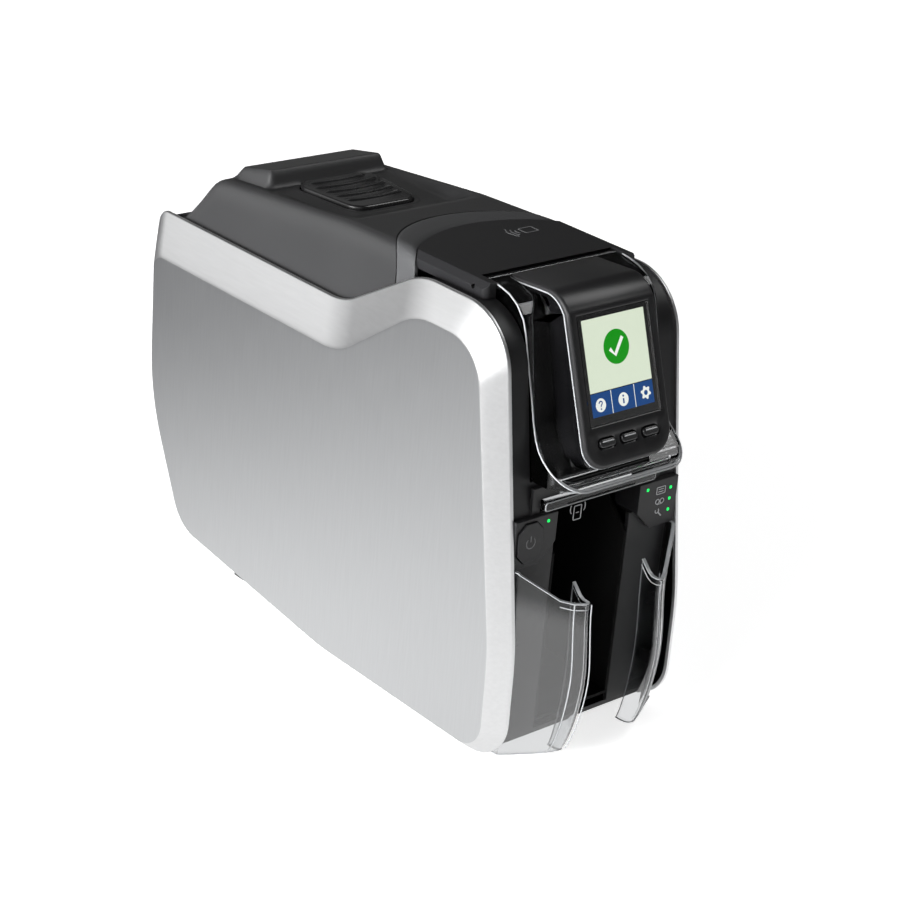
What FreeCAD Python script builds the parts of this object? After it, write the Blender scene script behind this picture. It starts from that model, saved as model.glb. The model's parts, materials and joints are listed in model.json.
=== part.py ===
import FreeCAD, Part
import math
import os

os.makedirs("parts", exist_ok=True)
V = FreeCAD.Vector

# Frame: X to the right seen from the front, the front faces -Y, Z up, floor at zero.

# Overall sizes
width = 160.0
flare = 11.0
rear_y = 201.5
front_y = -178.5
crest_z = 283.0
wave_drop = 40.5
deck_z = crest_z - wave_drop
bottom_z = 3.0

# General fits
move_gap = 0.4
pin_play = 0.05
seat_gap = 0.2
overrun = 5.0
far = 600.0
half = 0.5

# Widths that follow the overall width
rim_w = 2.0
core_half = width * half - flare - rim_w
lid_side = 3.0
cover_side = 6.0
door_side_w = 15.0
plate_side = 7.0

# Silver side panels: outline of the outer edge
shoulder_y = 1.6
crest_y = -68.6
front_top_y = -145.0
front_mid_y = -177.5
front_mid_z = 80.0
belly_y = -10.0
heel_y = 160.0
heel_z = 22.0
back_y = 200.0
back_drop = 127.5
back_z = deck_z - back_drop
corner_top = 10.0
corner_wave = 50.0
corner_brow = 40.0
corner_soft = 200.0
corner_foot = 30.0
corner_back = 150.0
skin = 2.4
bevel_top = 27.5
bevel_crest = 19.5
bevel_front = 8.0
bevel_bottom = 9.0
bevel_rear = 6.0
tab_t = 3.0
tab_h = 12.0

# Steel frame plates
plate_inner = core_half - plate_side
plate_t = 1.2
plate_front_y = -67.0
plate_rear_y = 190.0
plate_drop = 3.2
plate_top_z = deck_z - plate_drop
window_cut = 8.0

# Base tray and feet
base_drop = 1.5
base_t = 3.0
base_top_z = 30.0
base_rear_y = 150.0
rib_t = 2.0
rib_count = 5
foot_side = 21.0
foot_x = core_half - foot_side
foot_front_y = -122.0
foot_rear_y = 112.0
foot_half = 9.0
foot_cut = 4.0
foot_h = 3.0

# Rear cover and its sockets
cover_inset = 2.0
cover_t = 2.5
cover_drop = 5.5
cover_top_z = deck_z - cover_drop
ledge_front_y = 182.0
vent_count = 8
vent_pitch = 6.5
vent_w = 2.6
vent_half = 34.0
vent_drop = 64.5
vent_z = deck_z - vent_drop
port_drop = 86.5
port_z = deck_z - port_drop
port_front_y = 183.0
port_proud = 0.4
port_board_side = 13.0
port_board_x0 = port_board_side - core_half
port_end_share = 0.6567
port_board_x1 = core_half * port_end_share
port_board_half = 16.0
port_post_half = 3.0
jack_share = -0.5672
jack_x = core_half * jack_share
jack_half = 7.0
jack_r = 5.6
usb_share = -0.1791
usb_x = core_half * usb_share
usb_half = 6.0
usb_mouth_half = 4.2
net_share = 0.3284
net_x = core_half * net_share
net_half = 8.0
net_mouth_half = 6.0
socket_wall = 1.2
tongue_t = 1.4
lock_drop = 36.0
lock_z = port_z - lock_drop
lock_half = 3.5
lock_h = 1.5

# Card path, rollers and drive
path_drop = 70.5
path_z = deck_z - path_drop
path_play = 0.4
rubber_r = 8.6
roller_y = (-40.0, 40.0, 120.0)
roller_z = path_z - rubber_r - path_play
rubber_half = 30.0
shaft_r = 3.0
drive_half = 2.1
bush_half = 5.0
bush_len = 2.4
gear_pitch_r = 12.0
idler_pitch_r = 28.0
pinion_pitch_r = 8.0
gear_module = 2.0
gear_rise = 1.4
gear_root = 2.1
gear_t = 4.0
gear_gap = 0.8
tooth_share = 0.3
tip_share = 0.12
motor_side = 42.0
motor_len = 34.0
motor_cut = 5.0
motor_shaft_r = 2.5
deck_t = 2.0
deck_front_y = -66.0
deck_rear_y = 150.0
deck_roller_gap = 1.5

# Ribbon cassette
spool_y = (-18.0, 96.0)
spool_rise = 32.0
spool_z = path_z + spool_rise
spool_core_r = 6.0
film_r = (9.0, 16.0)
film_half = 29.0
cheek_side = 14.0
cheek_x = plate_inner - cheek_side
cheek_t = 3.0
cheek_h = 24.0
cheek_over = 22.0
cheek_rise = 16.0
cassette_bar = 5.0
cleaner_y = 4.0
cleaner_r = 4.5

# Lid
lid_half = core_half - lid_side
lid_gap = 1.0
lid_lap = 2.0
lid_wall = 3.0
lid_rear_y = 181.0
lid_back_y = 152.0
lid_back_drop = 7.0
lid_back_z = crest_z - lid_back_drop
lid_tip = 7.0
lid_block_y = 110.0
lid_block_rear_y = 146.0
lid_block_side = 19.0
lid_block_half = lid_half - lid_block_side
lid_block_rise = 7.5
lid_block_z = crest_z + lid_block_rise
lid_block_fall = 6.5
lid_block_rear_z = lid_block_z - lid_block_fall
lid_block_foot_z = lid_back_z
lid_top_mid_y = 20.0
lid_mid_rise = 5.0
lid_top_mid_z = crest_z + lid_mid_rise
lid_front_rise = 8.0
lid_top_front_z = crest_z + lid_front_rise
lid_front_side_y = -57.0
lid_front_mid_y = -28.0
band_side_w = 17.0
band_mid_w = 26.0
band_groove = 0.6
lid_shoulder_r = 7.0
scoop_side = 14.0
scoop_half = lid_half - scoop_side
scoop_front_y = 18.0
scoop_start_y = 42.0
scoop_depth = 8.5
scoop_z = lid_top_mid_z - scoop_depth
scoop_r = 14.0
pad_half = 32.0
pad_front_y = 47.0
pad_rear_y = 107.0
pad_stand = 4.0
pad_top_z = scoop_z + pad_stand
pad_t = 5.0
pad_taper_share = 0.2
pad_corner = 12.0
pad_rib_count = 5
pad_rib_h = 1.2
pad_rib_w = 3.4
pad_rib_r = 90.0
pad_travel = 2.5
pad_stem_half = 4.0
well_floor_t = 2.5
well_wall = 2.0
hinge_y = 184.0
hinge_drop = 7.5
hinge_z = deck_z - hinge_drop
hinge_pin_r = 3.0
hinge_arm_r = 6.5
hinge_arm_t = 6.0
hinge_arm_gap = 1.0
hinge_arm_x = plate_inner - hinge_arm_t - hinge_arm_gap
hinge_pin_in = 0.8
latch_y = -4.0
latch_rise = 15.5
latch_z = deck_z + latch_rise
latch_rod_r = 3.0
latch_side = 10.0
latch_hook_x = plate_inner - latch_side
latch_hook_t = 4.0
latch_reach = 32.0
latch_low_z = latch_z - latch_reach
latch_nose = 5.0
latch_w = 7.0
latch_lug_t = 3.0
keeper_half = 2.0

# Print head on the lid
head_half = 31.0
head_len = 16.0
head_t = 5.0
head_nose = 2.0
sink_half = 28.0
sink_len = 22.0
sink_h = 26.0
fin_count = 8
fin_t = 1.6
bracket_t = 2.0

# Front housing, its cover and the door hinge
housing_drop = 1.5
housing_wall = 3.0
housing_low = 10.0
housing_bottom_z = path_z - housing_low
door_half = core_half - door_side_w
sill_rise = 11.0
door_sill_z = path_z + sill_rise
cover_half = core_half - cover_side
cover_bevel = 4.0
cover_z = crest_z + lid_front_rise
cover_plate = 2.5
horn_front_y = -116.0
horn_r = 4.0
mouth_y = -99.0
bulk_y = -70.0
bulk_t = 2.5
cheek_wall = 2.5
knuckle_y = -105.0
knuckle_rise = 3.5
knuckle_z = crest_z + knuckle_rise
knuckle_relief = 5.4
knuckle_pin_r = 1.5
knuckle_pin_len = 9.0
hopper_half = 27.6
hopper_wall = 2.0
hopper_rise = 4.0
hopper_floor_z = path_z + hopper_rise
hopper_h = 80.0
hopper_top_z = hopper_floor_z + hopper_h
hopper_front_y = -138.0
card_slot_h = 1.4
weight_y = -80.0
weight_drop = 8.0
weight_z = hopper_top_z - weight_drop
weight_lift = 14.0
weight_len = hopper_h - weight_drop - weight_lift
weight_half = 9.0
weight_pin_r = 2.0
weight_eye_r = 4.5
weight_t = 3.0
weight_wheel_r = 5.0

# Door with the display
door_gap = 0.5
door_rise = 7.3
door_top_z = crest_z + door_rise
door_brow_y = -141.0
door_brow_drop = 6.3
door_brow_z = door_top_z - door_brow_drop
door_brow_r = 22.0
door_cheek_y = -162.0
cheek_lift = 19.0
door_cheek_z = door_sill_z + cheek_lift
door_cheek_r = 40.0
door_chin_y = -190.0
door_chin_r = 2.5
door_foot_y = -184.0
door_foot_z = door_sill_z - move_gap
door_wall = 2.6
door_plan_r = 18.0
skirt_t = 2.4
lip_rib_count = 4
lip_rib_step = 1.6
bezel_half = 32.0
bezel_brow_y = -154.5
bezel_rise = 10.0
bezel_top_z = crest_z + bezel_rise
bezel_brow_r = 20.0
bezel_chin_y = -188.5
bezel_chin_rise = 13.0
bezel_chin_z = door_sill_z + bezel_chin_rise
bezel_chin_r = 6.0
bezel_foot_rise = 7.0
bezel_foot_z = door_sill_z + bezel_foot_rise
bezel_bevel = 2.6
bezel_slot = 0.2
glass_half = 28.5
glass_drop = 13.0
glass_top_z = bezel_top_z - glass_drop
glass_h = 61.0
glass_bottom_z = glass_top_z - glass_h
glass_t = 1.2
glass_sink = 0.3
lcd_side = 3.2
lcd_half = glass_half - lcd_side
lcd_drop = 2.5
lcd_top_z = glass_top_z - lcd_drop
lcd_h = 54.2
lcd_bottom_z = lcd_top_z - lcd_h
lcd_t = 3.0
menu_pitch = 17.5
menu_half = 6.6
menu_half_h = 2.8
menu_drop = 10.0
menu_z = glass_bottom_z - menu_drop
menu_proud = 1.4
menu_depth = 3.0
menu_travel = 1.0

# Front blocks, guards and output hopper
front_lean = (front_top_y - front_mid_y) / (crest_z - front_mid_z)
fascia_proud = 4.1
fascia_y = front_mid_y + (housing_bottom_z - front_mid_z) * front_lean + housing_drop - fascia_proud
block_inner = 34.0
block_w = core_half - block_inner
block_depth = 20.0
block_h = 31.0
block_bottom_z = housing_bottom_z - block_h
block_cut = 12.0
wing_t = 3.0
wing_inner = 31.2
wing_back = 7.0
wing_y = fascia_y + wing_back
wing_low_z = 12.0
wing_outer = core_half - move_gap
visor_side = 6.0
visor_half = door_half - visor_side
visor_rise = 5.0
visor_z = housing_bottom_z + visor_rise
visor_h = 8.0
visor_t = 4.0
power_place_share = 0.6364
power_x = -block_inner - block_w * power_place_share
power_drop = 15.0
power_z = housing_bottom_z - power_drop
power_share = 0.288
power_half_w = block_w * power_share
power_half_h = 12.5
power_cut = 5.5
power_proud = 1.2
power_travel = 1.2
power_depth = 8.0
led_side = 6.0
led_x = core_half - led_side
led_half = 1.0
led_drop = 7.0
led_pitch = 7.5
led_count = 3
led_len = 5.0
slot_led_share = 0.2121
slot_led_x = block_inner + block_w * slot_led_share
slot_led_drop = 4.5
slot_led_z = housing_bottom_z - slot_led_drop
guard_t = 2.2
guard_top_z = block_bottom_z
guard_notch_drop = 18.0
guard_notch_z = guard_top_z - guard_notch_drop
guard_bottom_z = 7.0
guard_side = 1.5
guard_outer_x = core_half - guard_side
guard_inner_x = 28.0
guard_reach = 44.5
guard_front_y = wing_y - guard_reach
guard_rear_reach = 24.0
guard_rear_y = wing_y - guard_rear_reach
guard_shoulder = 12.0
guard_shoulder_y = wing_y - guard_shoulder
guard_bend_x = 38.0
guard_bend = 37.0
guard_bend_y = wing_y - guard_bend
guard_low_z = 28.0
guard_round = 5.0
guard_tip_r = 3.0
guard_foot = 27.0
guard_foot_y = wing_y - guard_foot
guard_notch = 33.0
guard_notch_y = wing_y - guard_notch
clip_w = 5.0
clip_h = 8.0
clip_z = (34.0, 74.0)
out_floor_z = 20.0
out_drop = 12.0
out_top_z = housing_bottom_z - out_drop
out_depth = 80.0
out_rear_y = wing_y + out_depth
out_half = 29.0
out_wall = 2.0
out_ramp_z = 30.0

# Board
board_gap = 1.0
board_t = 1.6
chip_h = 1.6
chip_side = 14.0
board_y0 = -30.0
board_y1 = 140.0
board_z0 = 50.0
board_drop = 32.0
board_z1 = path_z - board_drop

# Screws
screw_head_r = 3.2
screw_head_h = 1.6
screw_shank_r = 1.3
screw_len = 6.0
octagon_share = 0.586
screw_side = 11.0
screw_x = core_half - screw_side
screw_rise = 4.0
screw_drop = 24.5
screw_z = (port_z + screw_rise, deck_z - screw_drop)


def save(name, shape):
    """Write one sub-part to its own file."""
    shape.exportStep("parts/" + name + ".step")


def box(x0, x1, y0, y1, z0, z1):
    """A block between two corners."""
    return Part.makeBox(x1 - x0, y1 - y0, z1 - z0, V(x0, y0, z0))


def rod_x(x0, x1, y, z, r):
    """A round bar along X."""
    return Part.makeCylinder(r, x1 - x0, V(x0, y, z), V(1, 0, 0))


def rod_y(y0, y1, x, z, r):
    """A round bar along Y."""
    return Part.makeCylinder(r, y1 - y0, V(x, y0, z), V(0, 1, 0))


def rod_z(z0, z1, x, y, r):
    """A round bar along Z."""
    return Part.makeCylinder(r, z1 - z0, V(x, y, z0), V(0, 0, 1))


def fuse(shapes):
    """Join touching solids into one."""
    first = shapes[0]
    return first.fuse(shapes[1:]).removeSplitter() if len(shapes) > 1 else first


def mirror_x(shape):
    """The same shape on the other side of the middle plane."""
    return shape.mirror(V(0, 0, 0), V(1, 0, 0))


def unit(a, b):
    """Direction from one flat point to another."""
    length = math.hypot(b[0] - a[0], b[1] - a[1])
    return ((b[0] - a[0]) / length, (b[1] - a[1]) / length)


def shifted(points, inset):
    """A corner list (u, v, radius) moved inward all round; the list runs anticlockwise."""
    count = len(points)
    moved = []
    for i in range(count):
        before = points[i - 1]
        here = points[i]
        after = points[(i + 1) % count]
        d0 = unit(before, here)
        d1 = unit(here, after)
        turn = d0[0] * d1[1] - d0[1] * d1[0]
        along = d0[0] * d1[0] + d0[1] * d1[1]
        lean = math.tan(math.atan2(turn, along) * half)
        u = here[0] - d0[1] * inset - d0[0] * inset * lean
        v = here[1] + d0[0] * inset - d0[1] * inset * lean
        radius = here[2] - math.copysign(inset, turn) if here[2] > 0 else 0
        moved.append((u, v, max(radius, inset) if here[2] > 0 else 0))
    return moved


def outline_wire(points, place):
    """A closed wire of straight runs and round corners; place puts a flat point in space."""
    count = len(points)
    ends = []
    for i in range(count):
        before = points[i - 1]
        here = points[i]
        after = points[(i + 1) % count]
        d0 = unit(before, here)
        d1 = unit(here, after)
        turn = abs(math.atan2(d0[0] * d1[1] - d0[1] * d1[0], d0[0] * d1[0] + d0[1] * d1[1]))
        reach = here[2] * math.tan(turn * half)
        start = (here[0] - d0[0] * reach, here[1] - d0[1] * reach)
        stop = (here[0] + d1[0] * reach, here[1] + d1[1] * reach)
        bisect = here[2] / math.cos(turn * half) - here[2]
        inward = unit((here[0], here[1]), ((start[0] + stop[0]) * half, (start[1] + stop[1]) * half)) \
            if here[2] > 0 else (0, 0)
        middle = (here[0] + inward[0] * bisect, here[1] + inward[1] * bisect)
        ends.append((start, middle, stop, here[2] > 0))
    edges = []
    for i in range(count):
        start, middle, stop, is_round = ends[i]
        if is_round:
            edges.append(Part.Arc(place(*start), place(*middle), place(*stop)).toShape())
        following = ends[(i + 1) % count][0]
        edges.append(Part.makeLine(place(*stop), place(*following)))
    return Part.Wire(edges)


def side_plane(x):
    """Puts a (y, z) point on the plane at x."""
    return lambda y, z: V(x, y, z)


def front_plane(y):
    """Puts an (x, z) point on the plane at y."""
    return lambda x, z: V(x, y, z)


def floor_plane(z):
    """Puts an (x, y) point on the plane at z."""
    return lambda x, y: V(x, y, z)


def slab(points, x0, x1):
    """A side outline (y, z, radius) with thickness along X."""
    face = Part.Face(outline_wire(points, side_plane(x0)))
    return face.extrude(V(x1 - x0, 0, 0))


def front_slab(points, y0, y1):
    """A front outline (x, z, radius) with thickness along Y."""
    face = Part.Face(outline_wire(points, front_plane(y0)))
    return face.extrude(V(0, y1 - y0, 0))


def plan_slab(points, z0, z1):
    """A plan outline (x, y, radius) with thickness along Z."""
    face = Part.Face(outline_wire(points, floor_plane(z0)))
    return face.extrude(V(0, 0, z1 - z0))


def panel_edge():
    """Side outline of the silver panels, anticlockwise seen from +X."""
    return [
        (rear_y, deck_z, corner_top),
        (shoulder_y, deck_z, corner_wave),
        (crest_y, crest_z, corner_wave),
        (front_top_y, crest_z, corner_brow),
        (front_mid_y, front_mid_z, corner_soft),
        (front_y, bottom_z, corner_foot),
        (belly_y, bottom_z, corner_soft),
        (heel_y, heel_z, corner_foot),
        (back_y, back_z, corner_back),
    ]


def panel_face():
    """Outline of the flat brushed face inside the bevel."""
    return [
        (rear_y - bevel_rear, deck_z - bevel_top, corner_top),
        (shoulder_y - bevel_rear, deck_z - bevel_top, corner_wave),
        (crest_y - bevel_front, crest_z - bevel_crest, corner_wave),
        (front_top_y + bevel_front, crest_z - bevel_crest, corner_brow - bevel_front),
        (front_mid_y + bevel_front, front_mid_z, corner_soft),
        (front_y + bevel_front, bottom_z + bevel_bottom, corner_foot - bevel_front),
        (belly_y, bottom_z + bevel_bottom, corner_soft),
        (heel_y - bevel_rear, heel_z + bevel_bottom, corner_foot),
        (back_y - bevel_rear, back_z, corner_back),
    ]


def panel_solid():
    """Right-hand side panel: a pressed skin with a bevelled border and inner tabs."""
    edge_x = width * half - flare
    face_x = width * half
    rim = slab(panel_edge(), core_half, edge_x)
    cup = Part.makeLoft([outline_wire(panel_edge(), side_plane(edge_x)),
                         outline_wire(panel_face(), side_plane(face_x))], True, True)
    inner_edge = shifted(panel_edge(), skin)
    inner_face = shifted(panel_face(), skin)
    hollow_rim = slab(inner_edge, core_half - overrun, edge_x)
    hollow_cup = Part.makeLoft([outline_wire(inner_edge, side_plane(edge_x)),
                                outline_wire(inner_face, side_plane(face_x - skin))], True, True)
    shell = rim.fuse(cup).cut(hollow_rim.fuse(hollow_cup))
    tabs = [box(plate_inner + plate_t, face_x - skin * half, y, y + tab_t, z - tab_h, z)
            for y, z in tab_places()]
    return shell.fuse(tabs).removeSplitter()


def tab_places():
    """Where the panel tabs meet the frame plates."""
    low_z = board_z0 - tab_t
    high_z = plate_top_z - bevel_top
    return [(plate_front_y + bevel_top, low_z), (base_rear_y - bevel_top, low_z),
            (plate_front_y + bevel_crest, high_z), (base_rear_y, high_z)]


def frame_plate(has_drive):
    """Steel plate with the shelf that carries the cassette; one plate also carries the drive."""
    reach = base_drop + base_t + seat_gap
    sheet = slab(shifted(panel_edge(), reach), plate_inner, plate_inner + plate_t)
    keep = box(plate_inner - overrun, plate_inner + overrun, plate_front_y, plate_rear_y,
               bottom_z, plate_top_z)
    sheet = sheet.common(keep)
    holes = [box(plate_inner - overrun, plate_inner + overrun, y - bush_half, y + bush_half,
                 roller_z - bush_half, roller_z + bush_half) for y in roller_y]
    holes.append(rod_x(plate_inner - overrun, plate_inner + overrun, hinge_y, hinge_z, hinge_pin_r))
    if has_drive:
        for y in idler_places():
            holes.append(rod_x(plate_inner - overrun, plate_inner + overrun, y, roller_z,
                               shaft_r + pin_play))
        motor_y, motor_z = motor_place()
        holes.append(rod_x(plate_inner - overrun, plate_inner + overrun, motor_y, motor_z,
                           motor_shaft_r + pin_play))
    window = octagon((roller_y[2] + motor_side) * half, (board_z0 + board_z1) * half,
                     (roller_y[2] - motor_side) * half, (board_z1 - board_z0) * half - window_cut,
                     window_cut)
    holes.append(slab(window, plate_inner - overrun, plate_inner + overrun))
    rail_top = spool_z - cheek_h
    rail = box(cheek_x - cheek_t, plate_inner + plate_t, spool_y[0], spool_y[1], rail_top - deck_t, rail_top)
    notch = rod_x(0, plate_inner, cleaner_y, cleaner_z(), cleaner_r + move_gap)
    return sheet.cut(holes).fuse(rail).cut(notch).removeSplitter()


def idler_places():
    """Centres of the two idler gears between the rollers."""
    return [(roller_y[0] + roller_y[1]) * half, (roller_y[1] + roller_y[2]) * half]


def motor_place():
    """Centre of the motor shaft under the front idler."""
    return idler_places()[0], roller_z - idler_pitch_r - pinion_pitch_r


def gear(y, z, pitch_r, bore_half, phase_share):
    """A spur gear in the drive plane; the phase share turns it by part of a tooth."""
    teeth = int(round(pitch_r / (gear_module * half)))
    pitch = math.tau / teeth
    root_r = pitch_r - gear_root
    tip_r = pitch_r + gear_rise
    x0 = plate_inner + plate_t + gear_gap
    points = []
    for i in range(teeth):
        middle = (i + phase_share) * pitch
        for r, share in ((root_r, -tooth_share), (tip_r, -tip_share), (tip_r, tip_share),
                         (root_r, tooth_share)):
            angle = middle + share * pitch
            points.append(V(x0, y + r * math.cos(angle), z + r * math.sin(angle)))
    points.append(points[0])
    blank = Part.Face(Part.makePolygon(points)).extrude(V(gear_t, 0, 0))
    if bore_half > 0:
        blank = blank.cut(box(x0 - overrun, x0 + gear_t + overrun, y - bore_half, y + bore_half,
                              z - bore_half, z + bore_half))
    return blank


def roller(y):
    """Steel shaft with a square drive end and its bonded rubber sleeve."""
    gear_x = plate_inner + plate_t + gear_gap
    shaft = rod_x(-plate_inner - bush_len, gear_x, y, roller_z, shaft_r)
    shaft = shaft.fuse(box(gear_x, gear_x + gear_t, y - drive_half, y + drive_half,
                           roller_z - drive_half, roller_z + drive_half))
    sleeve = rod_x(-rubber_half, rubber_half, y, roller_z, rubber_r)
    return Part.makeCompound([shaft, sleeve.cut(rod_x(-far, far, y, roller_z, shaft_r))])


def bushings():
    """Square bearings, open above, pressed into the frame plates."""
    rings = []
    for y in roller_y:
        x0 = plate_inner - (bush_len - plate_t) * half
        ring = box(x0, x0 + bush_len, y - bush_half, y + bush_half, roller_z - bush_half,
                   roller_z + bush_half)
        reach = shaft_r + pin_play
        mouth = box(x0 - overrun, x0 + overrun, y - reach, y + reach, roller_z, roller_z + far)
        ring = ring.cut([rod_x(x0 - overrun, x0 + overrun, y, roller_z, reach), mouth])
        rings += [ring, mirror_x(ring)]
    return Part.makeCompound(rings)


def motor():
    """Stepping motor with clipped corners; the shaft is a part of its own."""
    y, z = motor_place()
    side = motor_side * half
    body = slab(octagon(y, z, side, side, motor_cut), plate_inner - motor_len, plate_inner)
    bore = rod_x(plate_inner - motor_len + motor_cut, plate_inner + overrun, y, z,
                 motor_shaft_r + pin_play)
    return body.cut(bore)


def motor_spindle():
    """Motor shaft with the pinion that drives the front idler."""
    y, z = motor_place()
    outer_x = plate_inner + plate_t + gear_gap + gear_t
    shaft = rod_x(plate_inner - motor_len + motor_cut + move_gap, outer_x, y, z, motor_shaft_r)
    return shaft.fuse(gear(y, z, pinion_pitch_r, 0, 0)).removeSplitter()


def idler(y):
    """Large idler gear and the stub axle that carries it."""
    outer_x = plate_inner + plate_t + gear_gap + gear_t
    wheel = gear(y, roller_z, idler_pitch_r, 0, half)
    stub = rod_x(plate_inner - bush_len * half, outer_x, y, roller_z, shaft_r)
    return wheel.fuse(stub).removeSplitter()


def core_ring(outer_inset, wall):
    """A closed band that follows the panel outline inside, as wide as the core."""
    outer = slab(shifted(panel_edge(), outer_inset), -core_half, core_half)
    inner = slab(shifted(panel_edge(), outer_inset + wall), -core_half - overrun, core_half + overrun)
    return outer.cut(inner)


def base_tray():
    """Moulded floor that follows the lower edge, with side walls, ribs and foot bosses."""
    keep = box(-core_half, core_half, wing_y, rear_y, 0, base_top_z)
    floor = core_ring(base_drop, base_t).common(keep)
    fill = slab(shifted(panel_edge(), base_drop + base_t * half), -core_half, core_half).common(keep)
    pieces = [floor]
    side_keep = box(core_half - rib_t, core_half, wing_y, base_rear_y, 0, base_top_z)
    pieces += [fill.common(side_keep), fill.common(mirror_x(side_keep))]
    span = base_rear_y - wing_y
    for i in range(rib_count):
        y = wing_y + span * (i + 1) / (rib_count + 1)
        pieces.append(fill.common(box(-core_half, core_half, y, y + rib_t, 0,
                                      out_floor_z - out_wall - seat_gap)))
    tray = fuse(pieces)
    slots = []
    for side in (-1, 1):
        x = side * (plate_inner + plate_t * half)
        slots.append(box(x - plate_t * half - seat_gap, x + plate_t * half + seat_gap,
                         plate_front_y - seat_gap, rear_y, bottom_z + base_drop + base_t, base_top_z))
    tray = tray.cut(slots)
    bosses = [plan_slab(octagon(x, y, foot_half, foot_half, foot_cut), foot_h, heel_z)
              for x, y in foot_places()]
    return tray.fuse(bosses).removeSplitter()


def foot_places():
    """Plan positions of the four feet."""
    return [(x, y) for x in (-foot_x, foot_x) for y in (foot_front_y, foot_rear_y)]


def rubber_feet():
    """Four eight-sided feet under the bosses of the tray."""
    return Part.makeCompound([plan_slab(octagon(x, y, foot_half, foot_half, foot_cut), 0, foot_h)
                              for x, y in foot_places()])


def back_wall_y(z, depth):
    """Where the rear cover lies at a height on its upright stretch."""
    lean = (rear_y - back_y) / (deck_z - back_z)
    return back_y + (z - back_z) * lean - cover_inset - depth


def rear_cover():
    """Curved rear wall with vents, socket windows, a lock slot and the ledge behind the lid."""
    shell = core_ring(cover_inset, cover_t)
    shell = shell.common(box(-core_half, core_half, base_rear_y, rear_y, base_top_z, cover_top_z))
    wall_y = back_wall_y(cover_top_z, cover_t)
    arm_gap = hinge_arm_x - hinge_pin_in - move_gap
    ledge_z = cover_top_z - cover_t
    ledges = [box(-arm_gap, arm_gap, ledge_front_y, wall_y, ledge_z, cover_top_z)]
    inner_y = back_wall_y(port_z, cover_t)
    low_z = port_z - port_board_half
    for x in (port_board_x0 + port_post_half, port_board_x1 - port_post_half):
        ledges.append(box(x - port_post_half, x + port_post_half, port_front_y, inner_y + pin_play,
                          low_z, low_z + port_post_half + port_post_half))
    shell = shell.fuse(ledges).removeSplitter()
    cuts = []
    for i in range(vent_count):
        z = vent_z + i * vent_pitch
        cuts.append(box(-vent_half, vent_half, base_rear_y, rear_y + overrun, z, z + vent_w))
    for x, reach in ((jack_x, jack_half), (usb_x, usb_half), (net_x, net_half)):
        grown = reach + seat_gap
        cuts.append(box(x - grown, x + grown, inner_y - overrun, rear_y + overrun,
                        port_z - grown, port_z + grown))
    for x, z in screw_places():
        cuts.append(stud(inner_y - overrun, rear_y + overrun, x, z, screw_shank_r + pin_play))
    cuts.append(box(net_x - lock_half, net_x + lock_half, base_rear_y, rear_y + overrun,
                    lock_z, lock_z + lock_h + lock_h))
    return shell.cut(cuts)


def socket(x, reach, mouth, has_tongue):
    """A square socket body with its mouth to the rear."""
    y1 = back_wall_y(port_z, 0) + port_proud
    body = box(x - reach, x + reach, port_front_y, y1, port_z - reach, port_z + reach)
    inner = box(x - mouth, x + mouth, port_front_y + socket_wall + socket_wall, y1 + overrun,
                port_z - mouth, port_z + mouth)
    body = body.cut(inner)
    if has_tongue:
        body = body.fuse(box(x - mouth * half, x + mouth * half, port_front_y + socket_wall,
                             y1 - socket_wall, port_z - tongue_t * half, port_z + tongue_t * half))
    return body.removeSplitter()


def power_jack():
    """Round power inlet in a square body."""
    y1 = back_wall_y(port_z, 0) + port_proud
    body = box(jack_x - jack_half, jack_x + jack_half, port_front_y, y1,
               port_z - jack_half, port_z + jack_half)
    return body.cut(rod_y(port_front_y + socket_wall + socket_wall, y1 + overrun, jack_x, port_z, jack_r))


def main_board():
    """Control board beside the left frame plate and the upright board behind the sockets."""
    ports = box(port_board_x0, port_board_x1, port_front_y - board_t, port_front_y,
                port_z - port_board_half, port_z + port_board_half)
    x1 = -plate_inner - plate_t - board_gap
    sheet = box(x1 - board_t, x1, board_y0, board_y1, board_z0, board_z1)
    spacers = []
    for y in (board_y0, board_y1 - tab_t):
        for z in (board_z0, board_z1 - tab_t):
            spacers.append(box(x1, -plate_inner - plate_t, y, y + tab_t, z, z + tab_t))
    return Part.makeCompound([sheet.fuse(spacers).removeSplitter(), ports])


def board_chips():
    """Square packages on the control board."""
    x1 = -plate_inner - plate_t - board_gap - board_t
    chips = []
    for i in range(rib_count):
        y = board_y0 + chip_side + i * (chip_side + window_cut)
        for z in (board_z0 + chip_side, board_z1 - chip_side):
            chips.append(box(x1 - chip_h, x1, y - chip_side * half, y + chip_side * half,
                             z - chip_side * half, z + chip_side * half))
    return Part.makeCompound(chips)


def card_deck():
    """Guide plate under the card path with a window over each roller."""
    z1 = path_z - deck_roller_gap
    plate = box(-plate_inner, plate_inner, deck_front_y, deck_rear_y, z1 - deck_t, z1)
    edge = box(plate_inner - deck_t, plate_inner, deck_front_y, deck_rear_y, z1 - deck_t, z1 + deck_t)
    plate = plate.fuse([edge, mirror_x(edge)])
    cuts = []
    reach = rubber_r + deck_roller_gap
    for y in roller_y:
        cuts.append(box(-rubber_half - move_gap, rubber_half + move_gap, y - reach, y + reach,
                        z1 - deck_t - overrun, path_z + overrun))
        cuts.append(box(-far, far, y - bush_half - seat_gap, y + bush_half + seat_gap,
                        roller_z - bush_half - seat_gap, path_z))
    for y in idler_places():
        cuts.append(rod_x(0, far, y, roller_z, shaft_r + move_gap))
    return plate.cut(cuts).removeSplitter()


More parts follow.
